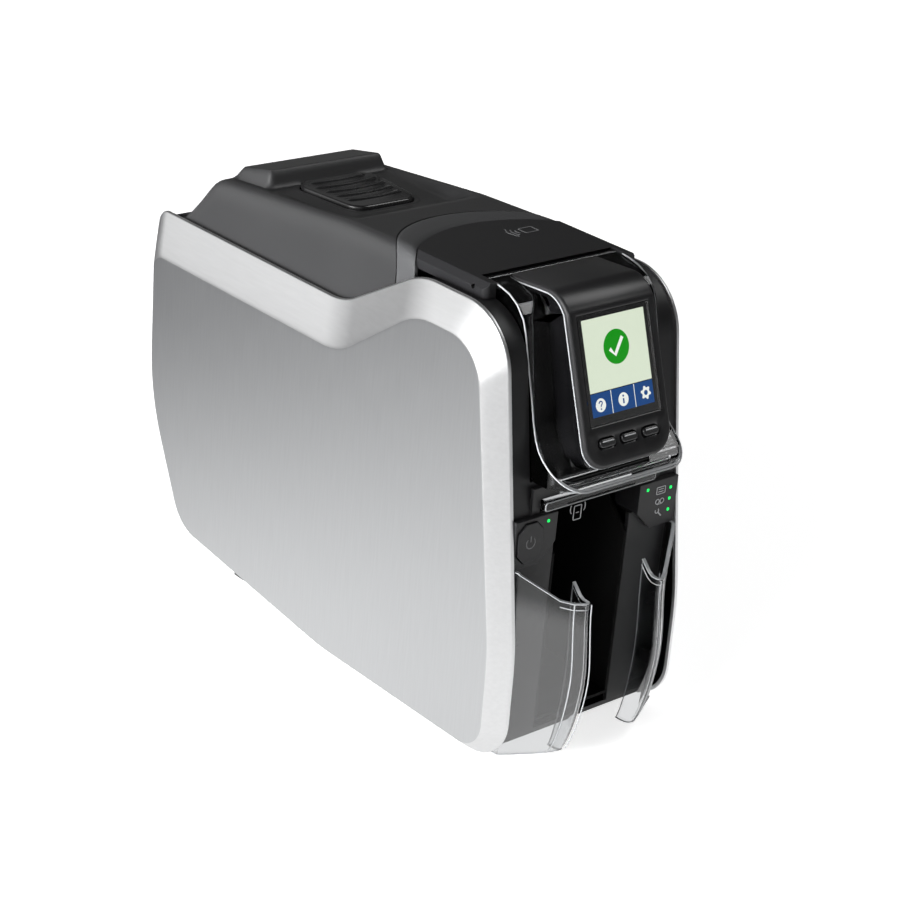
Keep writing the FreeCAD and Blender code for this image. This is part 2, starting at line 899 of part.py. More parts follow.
def cassette_frame():
    """Ribbon cassette: two cheeks with rounded ends, open spool bearings and two cross bars."""
    low = spool_z - cheek_h
    high = spool_z + cheek_rise
    front = spool_y[0] - cheek_over
    rear = spool_y[1] + cheek_over
    soft = cheek_rise * half
    outline = [(rear, high, soft), (front, high, soft), (front, low + soft, soft),
               (front + cheek_over, low, soft), (rear - cheek_over, low, soft), (rear, low + soft, soft)]
    cheek = slab(outline, cheek_x, cheek_x + cheek_t)
    bow = [(spool_y[1] - film_r[1] - cassette_bar, high + overrun, 0),
           (spool_y[0] + film_r[1], high + overrun, 0),
           (spool_y[0] + film_r[1] + soft, low + cassette_bar + cassette_bar, 0),
           (spool_y[1] - film_r[1] - cassette_bar - soft, low + cassette_bar + cassette_bar, 0)]
    cheek = cheek.cut(slab(bow, cheek_x - overrun, cheek_x + cheek_t + overrun))
    reach = spool_core_r + pin_play
    for y in spool_y:
        seat = rod_x(cheek_x - overrun, cheek_x + cheek_t + overrun, y, spool_z, reach)
        mouth = box(cheek_x - overrun, cheek_x + cheek_t + overrun, y - reach, y + reach, spool_z,
                    high + overrun)
        cheek = cheek.cut([seat, mouth])
    cheek = cheek.cut(rod_x(cheek_x - overrun, cheek_x + cheek_t + overrun, cleaner_y, cleaner_z(),
                            cleaner_r + pin_play))
    bars = []
    for y in (front, rear - cassette_bar):
        bars.append(box(-cheek_x - cheek_t * half, cheek_x + cheek_t * half, y, y + cassette_bar,
                        spool_z - cassette_bar * half, spool_z + cassette_bar * half))
    return fuse([cheek, mirror_x(cheek)] + bars)


def spool(y):
    """Tube core of a ribbon spool, which turns in the open bearings of the cheeks."""
    return rod_x(-cheek_x - cheek_t, cheek_x + cheek_t, y, spool_z, spool_core_r)


def film_roll(y, r):
    """Ribbon film wound on a spool."""
    roll = rod_x(-film_half, film_half, y, spool_z, r)
    return roll.cut(rod_x(-far, far, y, spool_z, spool_core_r))


def cleaner_z():
    """Height of the cleaning roller over the card path."""
    return path_z + cleaner_r + move_gap + deck_roller_gap


def cleaning_roller():
    """Tacky roller that wipes dust off the cards."""
    return rod_x(-cheek_x - cheek_t, cheek_x + cheek_t, cleaner_y, cleaner_z(), cleaner_r)


def wave_slope():
    """Rise per run of the sloping stretch of the upper edge."""
    return (crest_z - deck_z) / (shoulder_y - crest_y)


def lid_profile():
    """Side outline of the lid, anticlockwise from its rear lower corner."""
    front = lid_front_side_y - lid_tip
    front_z = crest_z - (front - crest_y) * wave_slope() - lid_lap
    return [
        (lid_rear_y, deck_z - lid_lap, 0),
        (lid_back_y, lid_back_z, corner_brow * half),
        (lid_top_mid_y, lid_top_mid_z, corner_soft),
        (front, lid_top_front_z, 0),
        (front, front_z, 0),
        (shoulder_y, deck_z - lid_lap, corner_wave),
    ]


def arc_centre(mid_y, side_y):
    """Centre and radius of a plan arc through a middle and two side points of the lid."""
    sag = mid_y - side_y
    r = (lid_half * lid_half + sag * sag) / (sag + sag)
    return mid_y - r, r


def arc_drum(mid_y, side_y):
    """A tall round body whose rear side is the plan arc."""
    y, r = arc_centre(mid_y, side_y)
    return rod_z(bottom_z, far, 0, y, r)


def lid_body():
    """Outer solid of the lid with rounded shoulders, the rear block and the scoop."""
    outer = slab(lid_profile(), -lid_half, lid_half)
    shoulders = []
    for edge in outer.Edges:
        centre = edge.CenterOfMass
        is_side = abs(abs(centre.x) - lid_half) < pin_play
        is_long = edge.BoundBox.YLength > pin_play
        is_top = centre.z > lid_back_z or centre.y > lid_back_y - corner_top
        if is_side and is_long and is_top:
            shoulders.append(edge)
    outer = outer.makeFillet(lid_shoulder_r, shoulders)
    block = [(lid_block_rear_y + lid_wall, lid_block_foot_z, 0),
             (lid_block_rear_y, lid_block_rear_z, lid_wall),
             (lid_block_y, lid_block_z, lid_wall),
             (lid_block_y - lid_wall, lid_block_foot_z, 0)]
    outer = outer.fuse(slab(block, -lid_block_half, lid_block_half))
    return outer.cut(slab(scoop_outline(), -scoop_half, scoop_half)).removeSplitter()


def scoop_outline():
    """Side outline of the hollow in the lid top in front of the block."""
    high = crest_z + scoop_r
    back = lid_block_y - lid_wall * half
    return [(back, high, 0), (scoop_front_y - scoop_r, high, 0), (scoop_front_y, lid_top_mid_z, 0),
            (scoop_start_y, scoop_z, scoop_r), (back, scoop_z, lid_wall)]


def lid_hollow():
    """Inside of the lid, open below and dipping under the scoop."""
    inner = shifted([(y, z, 0 if r == 0 else r) for y, z, r in lid_profile()], lid_wall)
    reach = lid_half - lid_wall
    cavity = slab(inner, -reach, reach)
    low = cavity.copy()
    low.translate(V(0, 0, -lid_wall - lid_wall * half))
    under = slab(shifted(scoop_outline(), -lid_wall), -scoop_half - lid_wall, scoop_half + lid_wall)
    return cavity.fuse(low).cut(under)


def pad_outline(grow, corner=pad_corner):
    """Plan of the release pad: straight rear, tapered sides and four equal corners."""
    front_half = pad_half * (1 - pad_taper_share)
    return [(pad_half + grow, pad_rear_y + grow, corner), (-pad_half - grow, pad_rear_y + grow, corner),
            (-front_half - grow, pad_front_y - grow, corner), (front_half + grow, pad_front_y - grow, corner)]


def pad_floor_z():
    """Top of the well floor under the release pad."""
    return pad_top_z - pad_t - pad_travel - move_gap


def release_pad():
    """Ribbed pad that frees the lid, with its guide stem."""
    low = pad_top_z - pad_t
    pad = plan_slab(pad_outline(0), low, pad_top_z - pad_rib_h)
    ribs = []
    run = pad_rear_y - pad_front_y - pad_corner
    for i in range(pad_rib_count):
        y = pad_front_y + pad_corner * half + run * (i + half) / pad_rib_count
        ring = rod_z(pad_top_z - pad_rib_h - pin_play, pad_top_z, 0, y + pad_rib_r, pad_rib_r)
        ring = ring.cut(rod_z(bottom_z, far, 0, y + pad_rib_r, pad_rib_r - pad_rib_w))
        near = box(-pad_half, pad_half, pad_front_y - overrun, y + pad_corner, low, pad_top_z)
        ribs.append(ring.common(near).common(plan_slab(pad_outline(-pad_rib_h), low, pad_top_z)))
    stem_low = pad_floor_z() - well_floor_t - pad_t
    middle = (pad_front_y + pad_rear_y) * half
    stem = plan_slab(octagon(0, middle, pad_stem_half, pad_stem_half, pad_rib_h), stem_low, low)
    return pad.fuse(ribs + [stem]).removeSplitter()


def hinge_arm():
    """Arm of the lid that turns on one hinge pin."""
    x1 = hinge_arm_x + hinge_arm_t
    eye = rod_x(hinge_arm_x, x1, hinge_y, hinge_z, hinge_arm_r)
    high = lid_back_z - lid_wall * (pad_rib_count - 1)
    web = [(hinge_y + pad_rib_h, hinge_z + hinge_arm_r - pin_play, 0),
           (lid_rear_y - lid_wall - pad_rib_h, deck_z + lid_gap + lid_wall, 0),
           (lid_back_y + hinge_arm_r, high + lid_wall, 0),
           (lid_back_y, high - lid_wall, 0),
           (hinge_y - hinge_arm_r - hinge_arm_r, hinge_z + hinge_arm_r, hinge_arm_r),
           (hinge_y - hinge_arm_r + pad_rib_h, hinge_z - lid_wall, 0)]
    arm = eye.fuse(slab(web, hinge_arm_x, x1)).removeSplitter()
    bore = rod_x(hinge_arm_x - overrun, x1 + overrun, hinge_y, hinge_z, hinge_pin_r + pin_play)
    return arm.cut(bore)


def lid_shell():
    """Moulded lid: shell, well for the pad, hinge arms, latch lugs and head rails."""
    shell = lid_body().cut(lid_hollow())
    shell = shell.cut(arc_drum(lid_front_mid_y + band_mid_w, lid_front_side_y + band_side_w))
    floor_z = pad_floor_z()
    cup = plan_slab(pad_outline(move_gap + well_wall, 0), floor_z - well_floor_t, scoop_z)
    well = plan_slab(pad_outline(move_gap), floor_z, far)
    middle = (pad_front_y + pad_rear_y) * half
    bore = plan_slab(octagon(0, middle, pad_stem_half + pin_play, pad_stem_half + pin_play, pad_rib_h),
                     0, far)
    arm = hinge_arm()
    rail_y = roller_y[1]
    rail = box(head_half - bracket_t - bracket_t, head_half, rail_y - sink_len * half,
               rail_y + sink_len * half, bracket_top_z(), scoop_z - lid_wall * half)
    lug = box(latch_hook_x - latch_hook_t - move_gap - latch_lug_t, latch_hook_x - latch_hook_t - move_gap,
              latch_y - latch_w, latch_y + latch_w, latch_z - latch_rod_r - latch_lug_t,
              lid_top_mid_z - lid_wall * half)
    lug = lug.cut(rod_x(0, far, latch_y, latch_z, latch_rod_r + pin_play))
    shell = shell.fuse([cup, arm, mirror_x(arm), rail, mirror_x(rail), lug, mirror_x(lug)])
    return shell.cut([well, bore]).removeSplitter()


def lid_band():
    """Curved band that ends the lid in front."""
    shell = lid_body().cut(lid_hollow())
    keep = arc_drum(lid_front_mid_y + band_mid_w - band_groove, lid_front_side_y + band_side_w - band_groove)
    shell = shell.common(keep)
    shell = shell.cut(arc_drum(lid_front_mid_y + move_gap, lid_front_side_y + move_gap))
    flange_drum = arc_drum(lid_front_mid_y + band_mid_w, lid_front_side_y + band_side_w)
    lip = slab(shifted(lid_profile(), lid_wall), -lid_half + lid_wall, lid_half - lid_wall)
    lip_keep = flange_drum.cut(arc_drum(lid_front_mid_y + band_mid_w - lid_wall - lid_wall,
                                        lid_front_side_y + band_side_w - lid_wall - lid_wall))
    lip = lip.cut(slab(shifted(lid_profile(), lid_wall + lid_wall), -lid_half + lid_wall + lid_wall,
                       lid_half - lid_wall - lid_wall))
    lip = lip.common(lip_keep).common(box(-lid_half, lid_half, -far, far, lid_back_z, far))
    return shell.fuse(lip).removeSplitter()


def latch_bar():
    """Cross rod of the latch with a hook near each end."""
    rod = rod_x(-latch_hook_x - latch_rod_r, latch_hook_x + latch_rod_r, latch_y, latch_z, latch_rod_r)
    hook = [(latch_y + latch_w * half, latch_z, 0), (latch_y - latch_w * half, latch_z, 0),
            (latch_y - latch_w * half, latch_low_z, 0),
            (latch_y + latch_w * half + latch_nose * half, latch_low_z, 0),
            (latch_y + latch_w * half + latch_nose, latch_low_z + latch_nose, 0),
            (latch_y + latch_w * half, latch_low_z + latch_nose, 0)]
    plate = slab(hook, latch_hook_x - latch_hook_t, latch_hook_x)
    return fuse([rod, plate, mirror_x(plate)])


def keeper_posts():
    """Two square posts on the frame plates in front of the latch hooks."""
    y = latch_y - latch_w * half - keeper_half - move_gap
    z = latch_low_z + latch_nose
    post = box(latch_hook_x - latch_hook_t, plate_inner, y - keeper_half, y + keeper_half,
               z - keeper_half, z + keeper_half)
    return Part.makeCompound([post, mirror_x(post)])


def hinge_pins():
    """Pins of the lid, pins of the door and the cross pin of the card weight."""
    outer_x = plate_inner + plate_t
    lid_pin = rod_x(hinge_arm_x - hinge_pin_in, outer_x, hinge_y, hinge_z, hinge_pin_r)
    door_pin = rod_x(door_half - knuckle_pin_len + move_gap, cover_half - cover_bevel, knuckle_y, knuckle_z,
                     knuckle_pin_r)
    reach = hopper_half + hopper_wall
    cross_pin = rod_x(-reach, reach, weight_y, weight_z, weight_pin_r)
    return Part.makeCompound([lid_pin, mirror_x(lid_pin), door_pin, mirror_x(door_pin), cross_pin])


def head_low_z():
    """Underside of the print head above the card path."""
    return path_z + move_gap


def sink_top_z():
    """Top of the heat sink."""
    return head_low_z() + head_t + sink_h


def bracket_top_z():
    """Where the head bracket meets the rails of the lid."""
    return deck_z + lid_wall


def print_head():
    """Ceramic print head with a rounded nose along its front."""
    y = roller_y[1]
    z = head_low_z()
    outline = [(y + head_len * half, z + head_t, 0), (y - head_len * half, z + head_t, 0),
               (y - head_len * half, z + head_nose, 0), (y - head_nose, z, head_nose),
               (y + head_nose, z, head_nose), (y + head_len * half, z + head_nose, 0)]
    return slab(outline, -head_half, head_half)


def heat_sink():
    """Finned block on the print head."""
    y = roller_y[1]
    z = head_low_z() + head_t
    base = box(-sink_half, sink_half, y - sink_len * half, y + sink_len * half, z, z + head_t)
    fins = []
    pitch = (sink_half + sink_half - fin_t) / (fin_count - 1)
    for i in range(fin_count):
        x = -sink_half + i * pitch
        fins.append(box(x, x + fin_t, y - sink_len * half, y + sink_len * half, z + head_t, sink_top_z()))
    return fuse([base] + fins)


def head_bracket():
    """Sheet bracket that hangs the heat sink from the lid rails."""
    y = roller_y[1]
    top = box(-head_half, head_half, y - sink_len * half, y + sink_len * half,
              bracket_top_z() - bracket_t, bracket_top_z())
    low = box(-sink_half, sink_half, y - sink_len * half, y + sink_len * half,
              sink_top_z(), sink_top_z() + bracket_t)
    web = box(-sink_half, sink_half, y - bracket_t * half, y + bracket_t * half,
              sink_top_z() + bracket_t, bracket_top_z() - bracket_t)
    return fuse([top, low, web])


def front_housing():
    """Black front shell between the silver panels with the door mouth, cheeks and bulkhead."""
    ring = core_ring(housing_drop, housing_wall)
    rear = bulk_y + bulk_t
    ring = ring.common(box(-core_half, core_half, -far, rear, housing_bottom_z, crest_z))
    mouth_half = door_half + door_gap
    ring = ring.cut(box(-mouth_half, mouth_half, -far, mouth_y,
                        door_sill_z - door_gap - door_gap, far))
    inside = slab(shifted(panel_edge(), housing_drop + housing_wall * half),
                  mouth_half, mouth_half + cheek_wall)
    cheek = inside.common(box(0, core_half, -far, rear, housing_bottom_z, crest_z))
    wall = slab(shifted(panel_edge(), housing_drop + housing_wall * half), -core_half, core_half)
    bulk = wall.common(box(-core_half, core_half, bulk_y, rear, door_sill_z, crest_z))
    beam = box(-mouth_half, mouth_half, fascia_y + housing_wall, fascia_y + housing_wall + bulk_t,
               housing_bottom_z, door_sill_z - door_gap - door_gap - housing_wall)
    shell = fuse([ring, cheek, mirror_x(cheek), bulk, beam])
    slot = box(-visor_half - seat_gap, visor_half + seat_gap, -far,
               bulk_y - block_depth - block_depth, visor_z - visor_h * half - seat_gap,
               visor_z + visor_h * half + seat_gap)
    return shell.cut(slot)


def housing_face_y(z):
    """Front surface of the housing low on its straight stretch."""
    return front_mid_y + (z - front_mid_z) * front_lean + housing_drop


def slot_visor():
    """Clear strip over the hand-feed slot with the card slot through it."""
    face = housing_face_y(visor_z) - visor_t * half
    z0 = visor_z - visor_h * half
    z1 = visor_z + visor_h * half
    outline = [(face + visor_t + housing_wall, z1, 0), (face, z1, visor_t * half), (face, z0, visor_t * half),
               (face + visor_t + housing_wall, z0, 0)]
    strip = slab(outline, -visor_half, visor_half)
    slot_z = path_z - card_slot_h
    return strip.cut(box(-hopper_half, hopper_half, face - overrun, face + visor_t + overrun + overrun,
                         slot_z - card_slot_h, slot_z))


def top_cover():
    """Contactless reader cover: bevelled plate with a curved rear and two hinge horns."""
    low = crest_z - housing_drop
    y_rear = lid_front_mid_y - move_gap
    outline = [(cover_half, y_rear, 0), (-cover_half, y_rear, 0), (-cover_half, horn_front_y, horn_r),
               (cover_half, horn_front_y, horn_r)]
    body = plan_slab(outline, low, cover_z)
    body = body.common(arc_drum(lid_front_mid_y - move_gap, lid_front_side_y - move_gap))
    section = [(cover_half, low, 0), (cover_half, cover_z - cover_bevel, 0),
               (cover_half - cover_bevel, cover_z, 0), (cover_bevel - cover_half, cover_z, 0),
               (-cover_half, cover_z - cover_bevel, 0), (-cover_half, low, 0)]
    body = body.common(front_slab(section, -far, 0))
    mouth_half = door_half + door_gap
    body = body.cut(box(-mouth_half, mouth_half, -far, knuckle_y, 0, far))
    body = body.cut(rod_x(-mouth_half, mouth_half, knuckle_y, knuckle_z, knuckle_relief))
    shell_in = door_half - cover_bevel
    hollow = box(-shell_in, shell_in, mouth_y, lid_front_mid_y, low - overrun, cover_z - cover_plate)
    hollow = hollow.common(arc_drum(lid_front_mid_y - lid_wall, lid_front_side_y - lid_wall))
    body = body.cut(hollow)
    return body.cut(rod_x(-far, far, knuckle_y, knuckle_z, knuckle_pin_r)).removeSplitter()


def cover_skirt():
    """Filler under the rear of the reader cover that closes the gap to the lid."""
    low = deck_z
    high = crest_z - housing_drop
    drum = arc_drum(lid_front_mid_y - move_gap, lid_front_side_y - move_gap)
    wall = drum.cut(arc_drum(lid_front_mid_y - move_gap - lid_wall, lid_front_side_y - move_gap - lid_wall))
    edge = lid_half - lid_wall
    rear = bulk_y + bulk_t
    wall = wall.common(box(-edge, edge, rear, 0, low, high))
    inside = slab(shifted(panel_edge(), lid_gap), -edge, edge)
    return wall.common(inside.fuse(box(-door_half, door_half, rear, 0, low, high)))


def door_outline():
    """Side outline of the door's black shell, anticlockwise from the hinge."""
    return [
        (knuckle_y, door_top_z, 0),
        (door_brow_y, door_brow_z, door_brow_r),
        (door_cheek_y, door_cheek_z, door_cheek_r),
        (door_chin_y, door_foot_z + door_gap, door_chin_r),
        (door_cheek_y + skirt_t, door_foot_z + door_gap, 0),
        (door_brow_y + door_brow_r, door_cheek_z, door_cheek_r * half),
        (knuckle_y - knuckle_relief, door_brow_z - door_brow_r, door_brow_r),
        (knuckle_y, knuckle_z, 0),
    ]


def door_strip(depth0, depth1, half_w):
    """The front wall of the door between two depths below its surface."""
    outer = shifted(door_outline(), depth0) if depth0 > 0 else door_outline()
    inner = shifted(door_outline(), depth1)
    front_count = len(door_outline()) - 3
    points = outer[:front_count] + list(reversed(inner[:front_count]))
    return slab(points, -half_w, half_w)


def door_plan(inset):
    """Plan of the door with its two rounded front corners."""
    back = knuckle_y + knuckle_relief + overrun
    outline = [(door_half, back, 0), (-door_half, back, 0),
               (-door_half, door_chin_y, door_plan_r), (door_half, door_chin_y, door_plan_r)]
    return shifted(outline, inset) if inset > 0 else outline


def door_layer(depth, wall):
    """One moulded layer of the door: its front wall and the side walls round the corners."""
    points = shifted(door_outline(), depth) if depth > 0 else door_outline()
    full = slab(points, -door_half, door_half)
    outer = plan_slab(door_plan(depth), bottom_z, far)
    inner = plan_slab(door_plan(depth + wall), bottom_z, far)
    sides = full.common(outer.cut(inner))
    front = door_strip(depth, depth + wall, door_half - depth).common(outer)
    return [front, sides]


def knuckle_barrel(grow):
    """Round upper edge of the door about its hinge line."""
    return rod_x(-door_half, door_half, knuckle_y, knuckle_z, door_top_z - knuckle_z + grow)


def knuckle_bores(grow):
    """Holes for the two door hinge pins."""
    bore = rod_x(door_half - knuckle_pin_len, far, knuckle_y, knuckle_z, knuckle_pin_r + grow)
    return [bore, mirror_x(bore)]


def bezel_slope():
    """Forward run per drop of the display front."""
    return (bezel_brow_y - bezel_chin_y) / (bezel_top_z - bezel_chin_z)


def bezel_line_y(z):
    """Where the display front lies at a height."""
    return bezel_brow_y - (bezel_top_z - z) * bezel_slope()


def tilted_block(x, z, half_w, half_h, depth0, depth1):
    """A block square to the display front about a point on it, between two depths."""
    length = math.hypot(1, bezel_slope())
    up = (bezel_slope() / length, 1 / length)
    into = (1 / length, -bezel_slope() / length)
    y = bezel_line_y(z)
    corners = []
    for rise, depth in ((half_h, depth1), (half_h, depth0), (-half_h, depth0), (-half_h, depth1)):
        corners.append((y + up[0] * rise + into[0] * depth, z + up[1] * rise + into[1] * depth, 0))
    return slab(corners, x - half_w, x + half_w)


def front_middle(z_top, z_bottom):
    """Middle height and half length of a field on the display front."""
    return (z_top + z_bottom) * half, (z_top - z_bottom) * half * math.hypot(1, bezel_slope())


def bezel_outline():
    """Side outline of the display housing."""
    return [
        (knuckle_y - door_wall, door_top_z, 0),
        (bezel_brow_y, bezel_top_z, bezel_brow_r),
        (bezel_chin_y, bezel_chin_z, bezel_chin_r),
        (door_cheek_y, bezel_foot_z, 0),
        (door_cheek_y, door_cheek_z, 0),
        (bezel_brow_y + bezel_brow_r, door_brow_z - door_wall - door_wall, bezel_chin_r),
        (knuckle_y - door_wall, knuckle_z, 0),
    ]


def bezel_volume(grow):
    """Full volume of the display housing with bevelled front edges."""
    points = shifted(bezel_outline(), -grow) if grow > 0 else bezel_outline()
    body = slab(points, -bezel_half - grow, bezel_half + grow)
    if grow > 0:
        return body
    rim = []
    for edge in body.Edges:
        centre = edge.CenterOfMass
        on_side = abs(abs(centre.x) - bezel_half) < pin_play
        on_front = centre.y < bezel_line_y(centre.z) + bezel_chin_r and centre.z > bezel_foot_z + bezel_slot
        on_brow = centre.z > door_top_z - bezel_slot
        if on_side and (on_front or on_brow) and edge.BoundBox.XLength < pin_play:
            rim.append(edge)
    return body.makeChamfer(bezel_bevel, rim)


def display_bezel():
    """Display housing with pockets for the glass, the screen and the menu buttons."""
    body = bezel_volume(0).cut(knuckle_barrel(bezel_slot))
    glass_mid, glass_reach = front_middle(glass_top_z, glass_bottom_z)
    lcd_mid, lcd_reach = front_middle(lcd_top_z, lcd_bottom_z)
    glass_deep = glass_sink + glass_t
    cuts = [tilted_block(0, glass_mid, glass_half + bezel_slot, glass_reach + bezel_slot,
                         -overrun, glass_deep),
            tilted_block(0, lcd_mid, lcd_half + bezel_slot, lcd_reach + bezel_slot, 0, glass_deep + lcd_t)]
    for i in (-1, 0, 1):
        cuts.append(tilted_block(i * menu_pitch, menu_z, menu_half + move_gap, menu_half_h + move_gap,
                                 -overrun, menu_depth + menu_travel + move_gap))
    return body.cut(cuts)


def display_glass():
    """Cover glass of the display."""
    middle, reach = front_middle(glass_top_z, glass_bottom_z)
    return tilted_block(0, middle, glass_half, reach, glass_sink, glass_sink + glass_t)


def lcd_screen():
    """Display panel behind the glass."""
    middle, reach = front_middle(lcd_top_z, lcd_bottom_z)
    return tilted_block(0, middle, lcd_half, reach, glass_sink + glass_t, glass_sink + glass_t + lcd_t)


def menu_button(i):
    """One of the three keys under the display."""
    return tilted_block(i * menu_pitch, menu_z, menu_half, menu_half_h, -menu_proud, menu_depth)


def door_frame():
    """Gloss black inner shell of the door with its hinge barrel."""
    frame = fuse(door_layer(skirt_t, door_wall) + [knuckle_barrel(0)])
    return frame.cut([bezel_volume(bezel_slot)] + knuckle_bores(pin_play)).removeSplitter()


def door_skirt():
    """Clear outer shell of the door with grip ribs along its lip."""
    ribs = []
    for i in range(lip_rib_count):
        y = door_foot_y + skirt_t + lip_rib_step * (i + i)
        ribs.append(box(-door_half + corner_top, door_half - corner_top, y, y + lip_rib_step * half,
                        door_foot_z, door_foot_z + skirt_t))
    skirt = fuse(door_layer(0, skirt_t) + ribs)
    return skirt.cut([bezel_volume(bezel_slot), knuckle_barrel(0)] + knuckle_bores(pin_play))


def input_hopper():
    """Tray for blank cards with side guides and a rear wall over the card slot."""
    outer_half = hopper_half + hopper_wall
    rear = bulk_y
    floor = box(-outer_half, outer_half, hopper_front_y, rear, hopper_floor_z - hopper_wall, hopper_floor_z)
    guide = box(hopper_half, outer_half, hopper_front_y, rear, hopper_floor_z - hopper_wall, hopper_top_z)
    wall = box(-outer_half, outer_half, rear - hopper_wall, rear, hopper_floor_z - hopper_wall, hopper_top_z)
    tray = fuse([floor, guide, mirror_x(guide), wall])
    slot = box(-hopper_half, hopper_half, rear - hopper_wall - overrun, rear + overrun,
               hopper_floor_z, hopper_floor_z + card_slot_h)
    notch = [(hopper_front_y, hopper_top_z, 0), (hopper_front_y, hopper_top_z - block_depth, 0),
             (hopper_front_y + block_depth, hopper_top_z, 0)]
    eye = rod_x(-far, far, weight_y, weight_z, weight_pin_r)
    return tray.cut([slot, slab(notch, -far, far), eye])


def card_weight():
    """Swinging arm that presses on the cards, with a roller nose."""
    eye = rod_x(-weight_half, weight_half, weight_y, weight_z, weight_eye_r)
    low = weight_z - weight_len
    arm = box(-weight_half, weight_half, weight_y - weight_t * half, weight_y + weight_t * half,
              low, weight_z)
    nose = rod_x(-weight_half, weight_half, weight_y, low, weight_wheel_r)
    window = box(-weight_half + weight_t, weight_half - weight_t, weight_y - weight_t, weight_y + weight_t,
                 low + weight_wheel_r + weight_t, weight_z - weight_eye_r - weight_t)
    arm = fuse([eye, arm, nose]).cut(window)
    return arm.cut(rod_x(-far, far, weight_y, weight_z, weight_pin_r + pin_play))


def octagon(x, z, half_w, half_h, cut):
    """Corner list of an upright octagon on the front plane."""
    return [(x + half_w, z + half_h - cut, 0), (x + half_w - cut, z + half_h, 0),
            (x - half_w + cut, z + half_h, 0), (x - half_w, z + half_h - cut, 0),
            (x - half_w, z - half_h + cut, 0), (x - half_w + cut, z - half_h, 0),
            (x + half_w - cut, z - half_h, 0), (x + half_w, z - half_h + cut, 0)]


def front_block():
    """Right-hand block beside the card exit with the wing plate behind the guard."""
    outline = [(wing_outer, housing_bottom_z, 0), (block_inner, housing_bottom_z, 0),
               (block_inner, block_bottom_z + block_cut, 0), (block_inner + block_cut, block_bottom_z, 0),
               (wing_outer, block_bottom_z, 0)]
    body = front_slab(outline, fascia_y, fascia_y + block_depth)
    wing = box(wing_inner, wing_outer, wing_y - wing_t, wing_y, wing_low_z, block_bottom_z + block_cut)
    base_y = wing_y - wing_t
    clips = []
    x1 = guard_outer_x - guard_t - seat_gap
    for z in clip_z:
        clips.append(box(x1 - clip_w, x1 - clip_w + guard_t, base_y - clip_h, base_y, z, z + clip_h))
        clips.append(box(x1 - clip_w, x1, base_y - clip_h, base_y - clip_h + guard_t, z, z + clip_h))
    body = body.fuse([wing] + clips)
    hole = box(slot_led_x - led_half, slot_led_x + led_half, -far, far,
               slot_led_z - led_half, slot_led_z + led_half)
    return body.cut(hole).removeSplitter()


def left_block():
    """Left block with the pocket of the power button."""
    outline = octagon(power_x, power_z, power_half_w + move_gap, power_half_h + move_gap, power_cut)
    pocket = front_slab(outline, fascia_y - overrun, fascia_y + power_depth + power_travel + move_gap)
    return mirror_x(front_block()).cut(pocket)


def right_block():
    """Right block with the holes of the three status lights."""
    holes = [box(led_x - led_half, led_x + led_half, fascia_y - overrun, fascia_y + led_len,
                 z - led_half, z + led_half) for z in led_heights()]
    return front_block().cut(holes)


def power_button():
    """Eight-sided power button."""
    return front_slab(octagon(power_x, power_z, power_half_w, power_half_h, power_cut),
                      fascia_y - power_proud, fascia_y + power_depth)


def led_heights():
    """Heights of the three status lights."""
    return [housing_bottom_z - led_drop - i * led_pitch for i in range(led_count)]


def status_lights():
    """Light pipes beside the three icons and at the ends of the card slot."""
    pipes = [box(led_x - led_half, led_x + led_half, fascia_y, fascia_y + led_len, z - led_half,
                 z + led_half) for z in led_heights()]
    for x in (-slot_led_x, slot_led_x):
        pipes.append(box(x - led_half, x + led_half, fascia_y, fascia_y + block_depth,
                         slot_led_z - led_half, slot_led_z + led_half))
    return Part.makeCompound(pipes)


def guard():
    """Right clear guard: a bowed wall cut to its side outline."""
    base_y = wing_y - wing_t
    filled = [(guard_inner_x, guard_rear_y, 0), (guard_inner_x, guard_front_y, guard_tip_r),
              (guard_bend_x, guard_bend_y, guard_round),
              (guard_outer_x, guard_shoulder_y, guard_round), (guard_outer_x, base_y, 0)]
    inner = shifted(filled, guard_t)
    inner[0] = (inner[1][0], base_y + overrun, 0)
    inner[-1] = (inner[-2][0], base_y + overrun, 0)
    wall = plan_slab(filled, guard_bottom_z, guard_top_z).cut(plan_slab(inner, 0, far))
    front = guard_front_y - overrun
    side = [(base_y, guard_top_z, 0), (guard_shoulder_y, guard_top_z, guard_t),
            (guard_notch_y, guard_notch_z, guard_t), (front, guard_notch_z, 0), (front, guard_low_z, 0),
            (guard_front_y, guard_low_z, guard_round), (guard_foot_y, guard_bottom_z, guard_round),
            (base_y, guard_bottom_z, 0)]
    return wall.common(slab(side, 0, core_half))


def output_hopper():
    """Open-fronted tray that takes the printed cards."""
    outer_half = out_half + out_wall
    front = wing_y - wing_t
    low = out_floor_z - out_wall
    floor = box(-outer_half, outer_half, front, out_rear_y, low, out_floor_z)
    side = box(out_half, outer_half, front, out_rear_y, low, out_top_z)
    wall = box(-outer_half, outer_half, out_rear_y - out_wall, out_rear_y, low, out_top_z)
    ramp = [(out_rear_y, out_floor_z, 0), (out_rear_y, out_ramp_z, 0), (wing_y + block_depth, out_floor_z, 0)]
    tray = fuse([floor, side, mirror_x(side), wall, slab(ramp, -out_half, out_half)])
    notch = [(front, out_top_z, 0), (front, block_bottom_z, 0),
             (front + block_depth, out_top_z, 0)]
    return tray.cut(slab(notch, -far, far))


def screw_places():
    """Where the rear cover is screwed on."""
    return [(x, z) for x in (-screw_x, screw_x) for z in screw_z]


def stud(y0, y1, x, z, r):
    """An eight-sided bar along Y, as a screw shank, its hole or its head."""
    return front_slab(octagon(x, z, r, r, r * octagon_share), y0, y1)


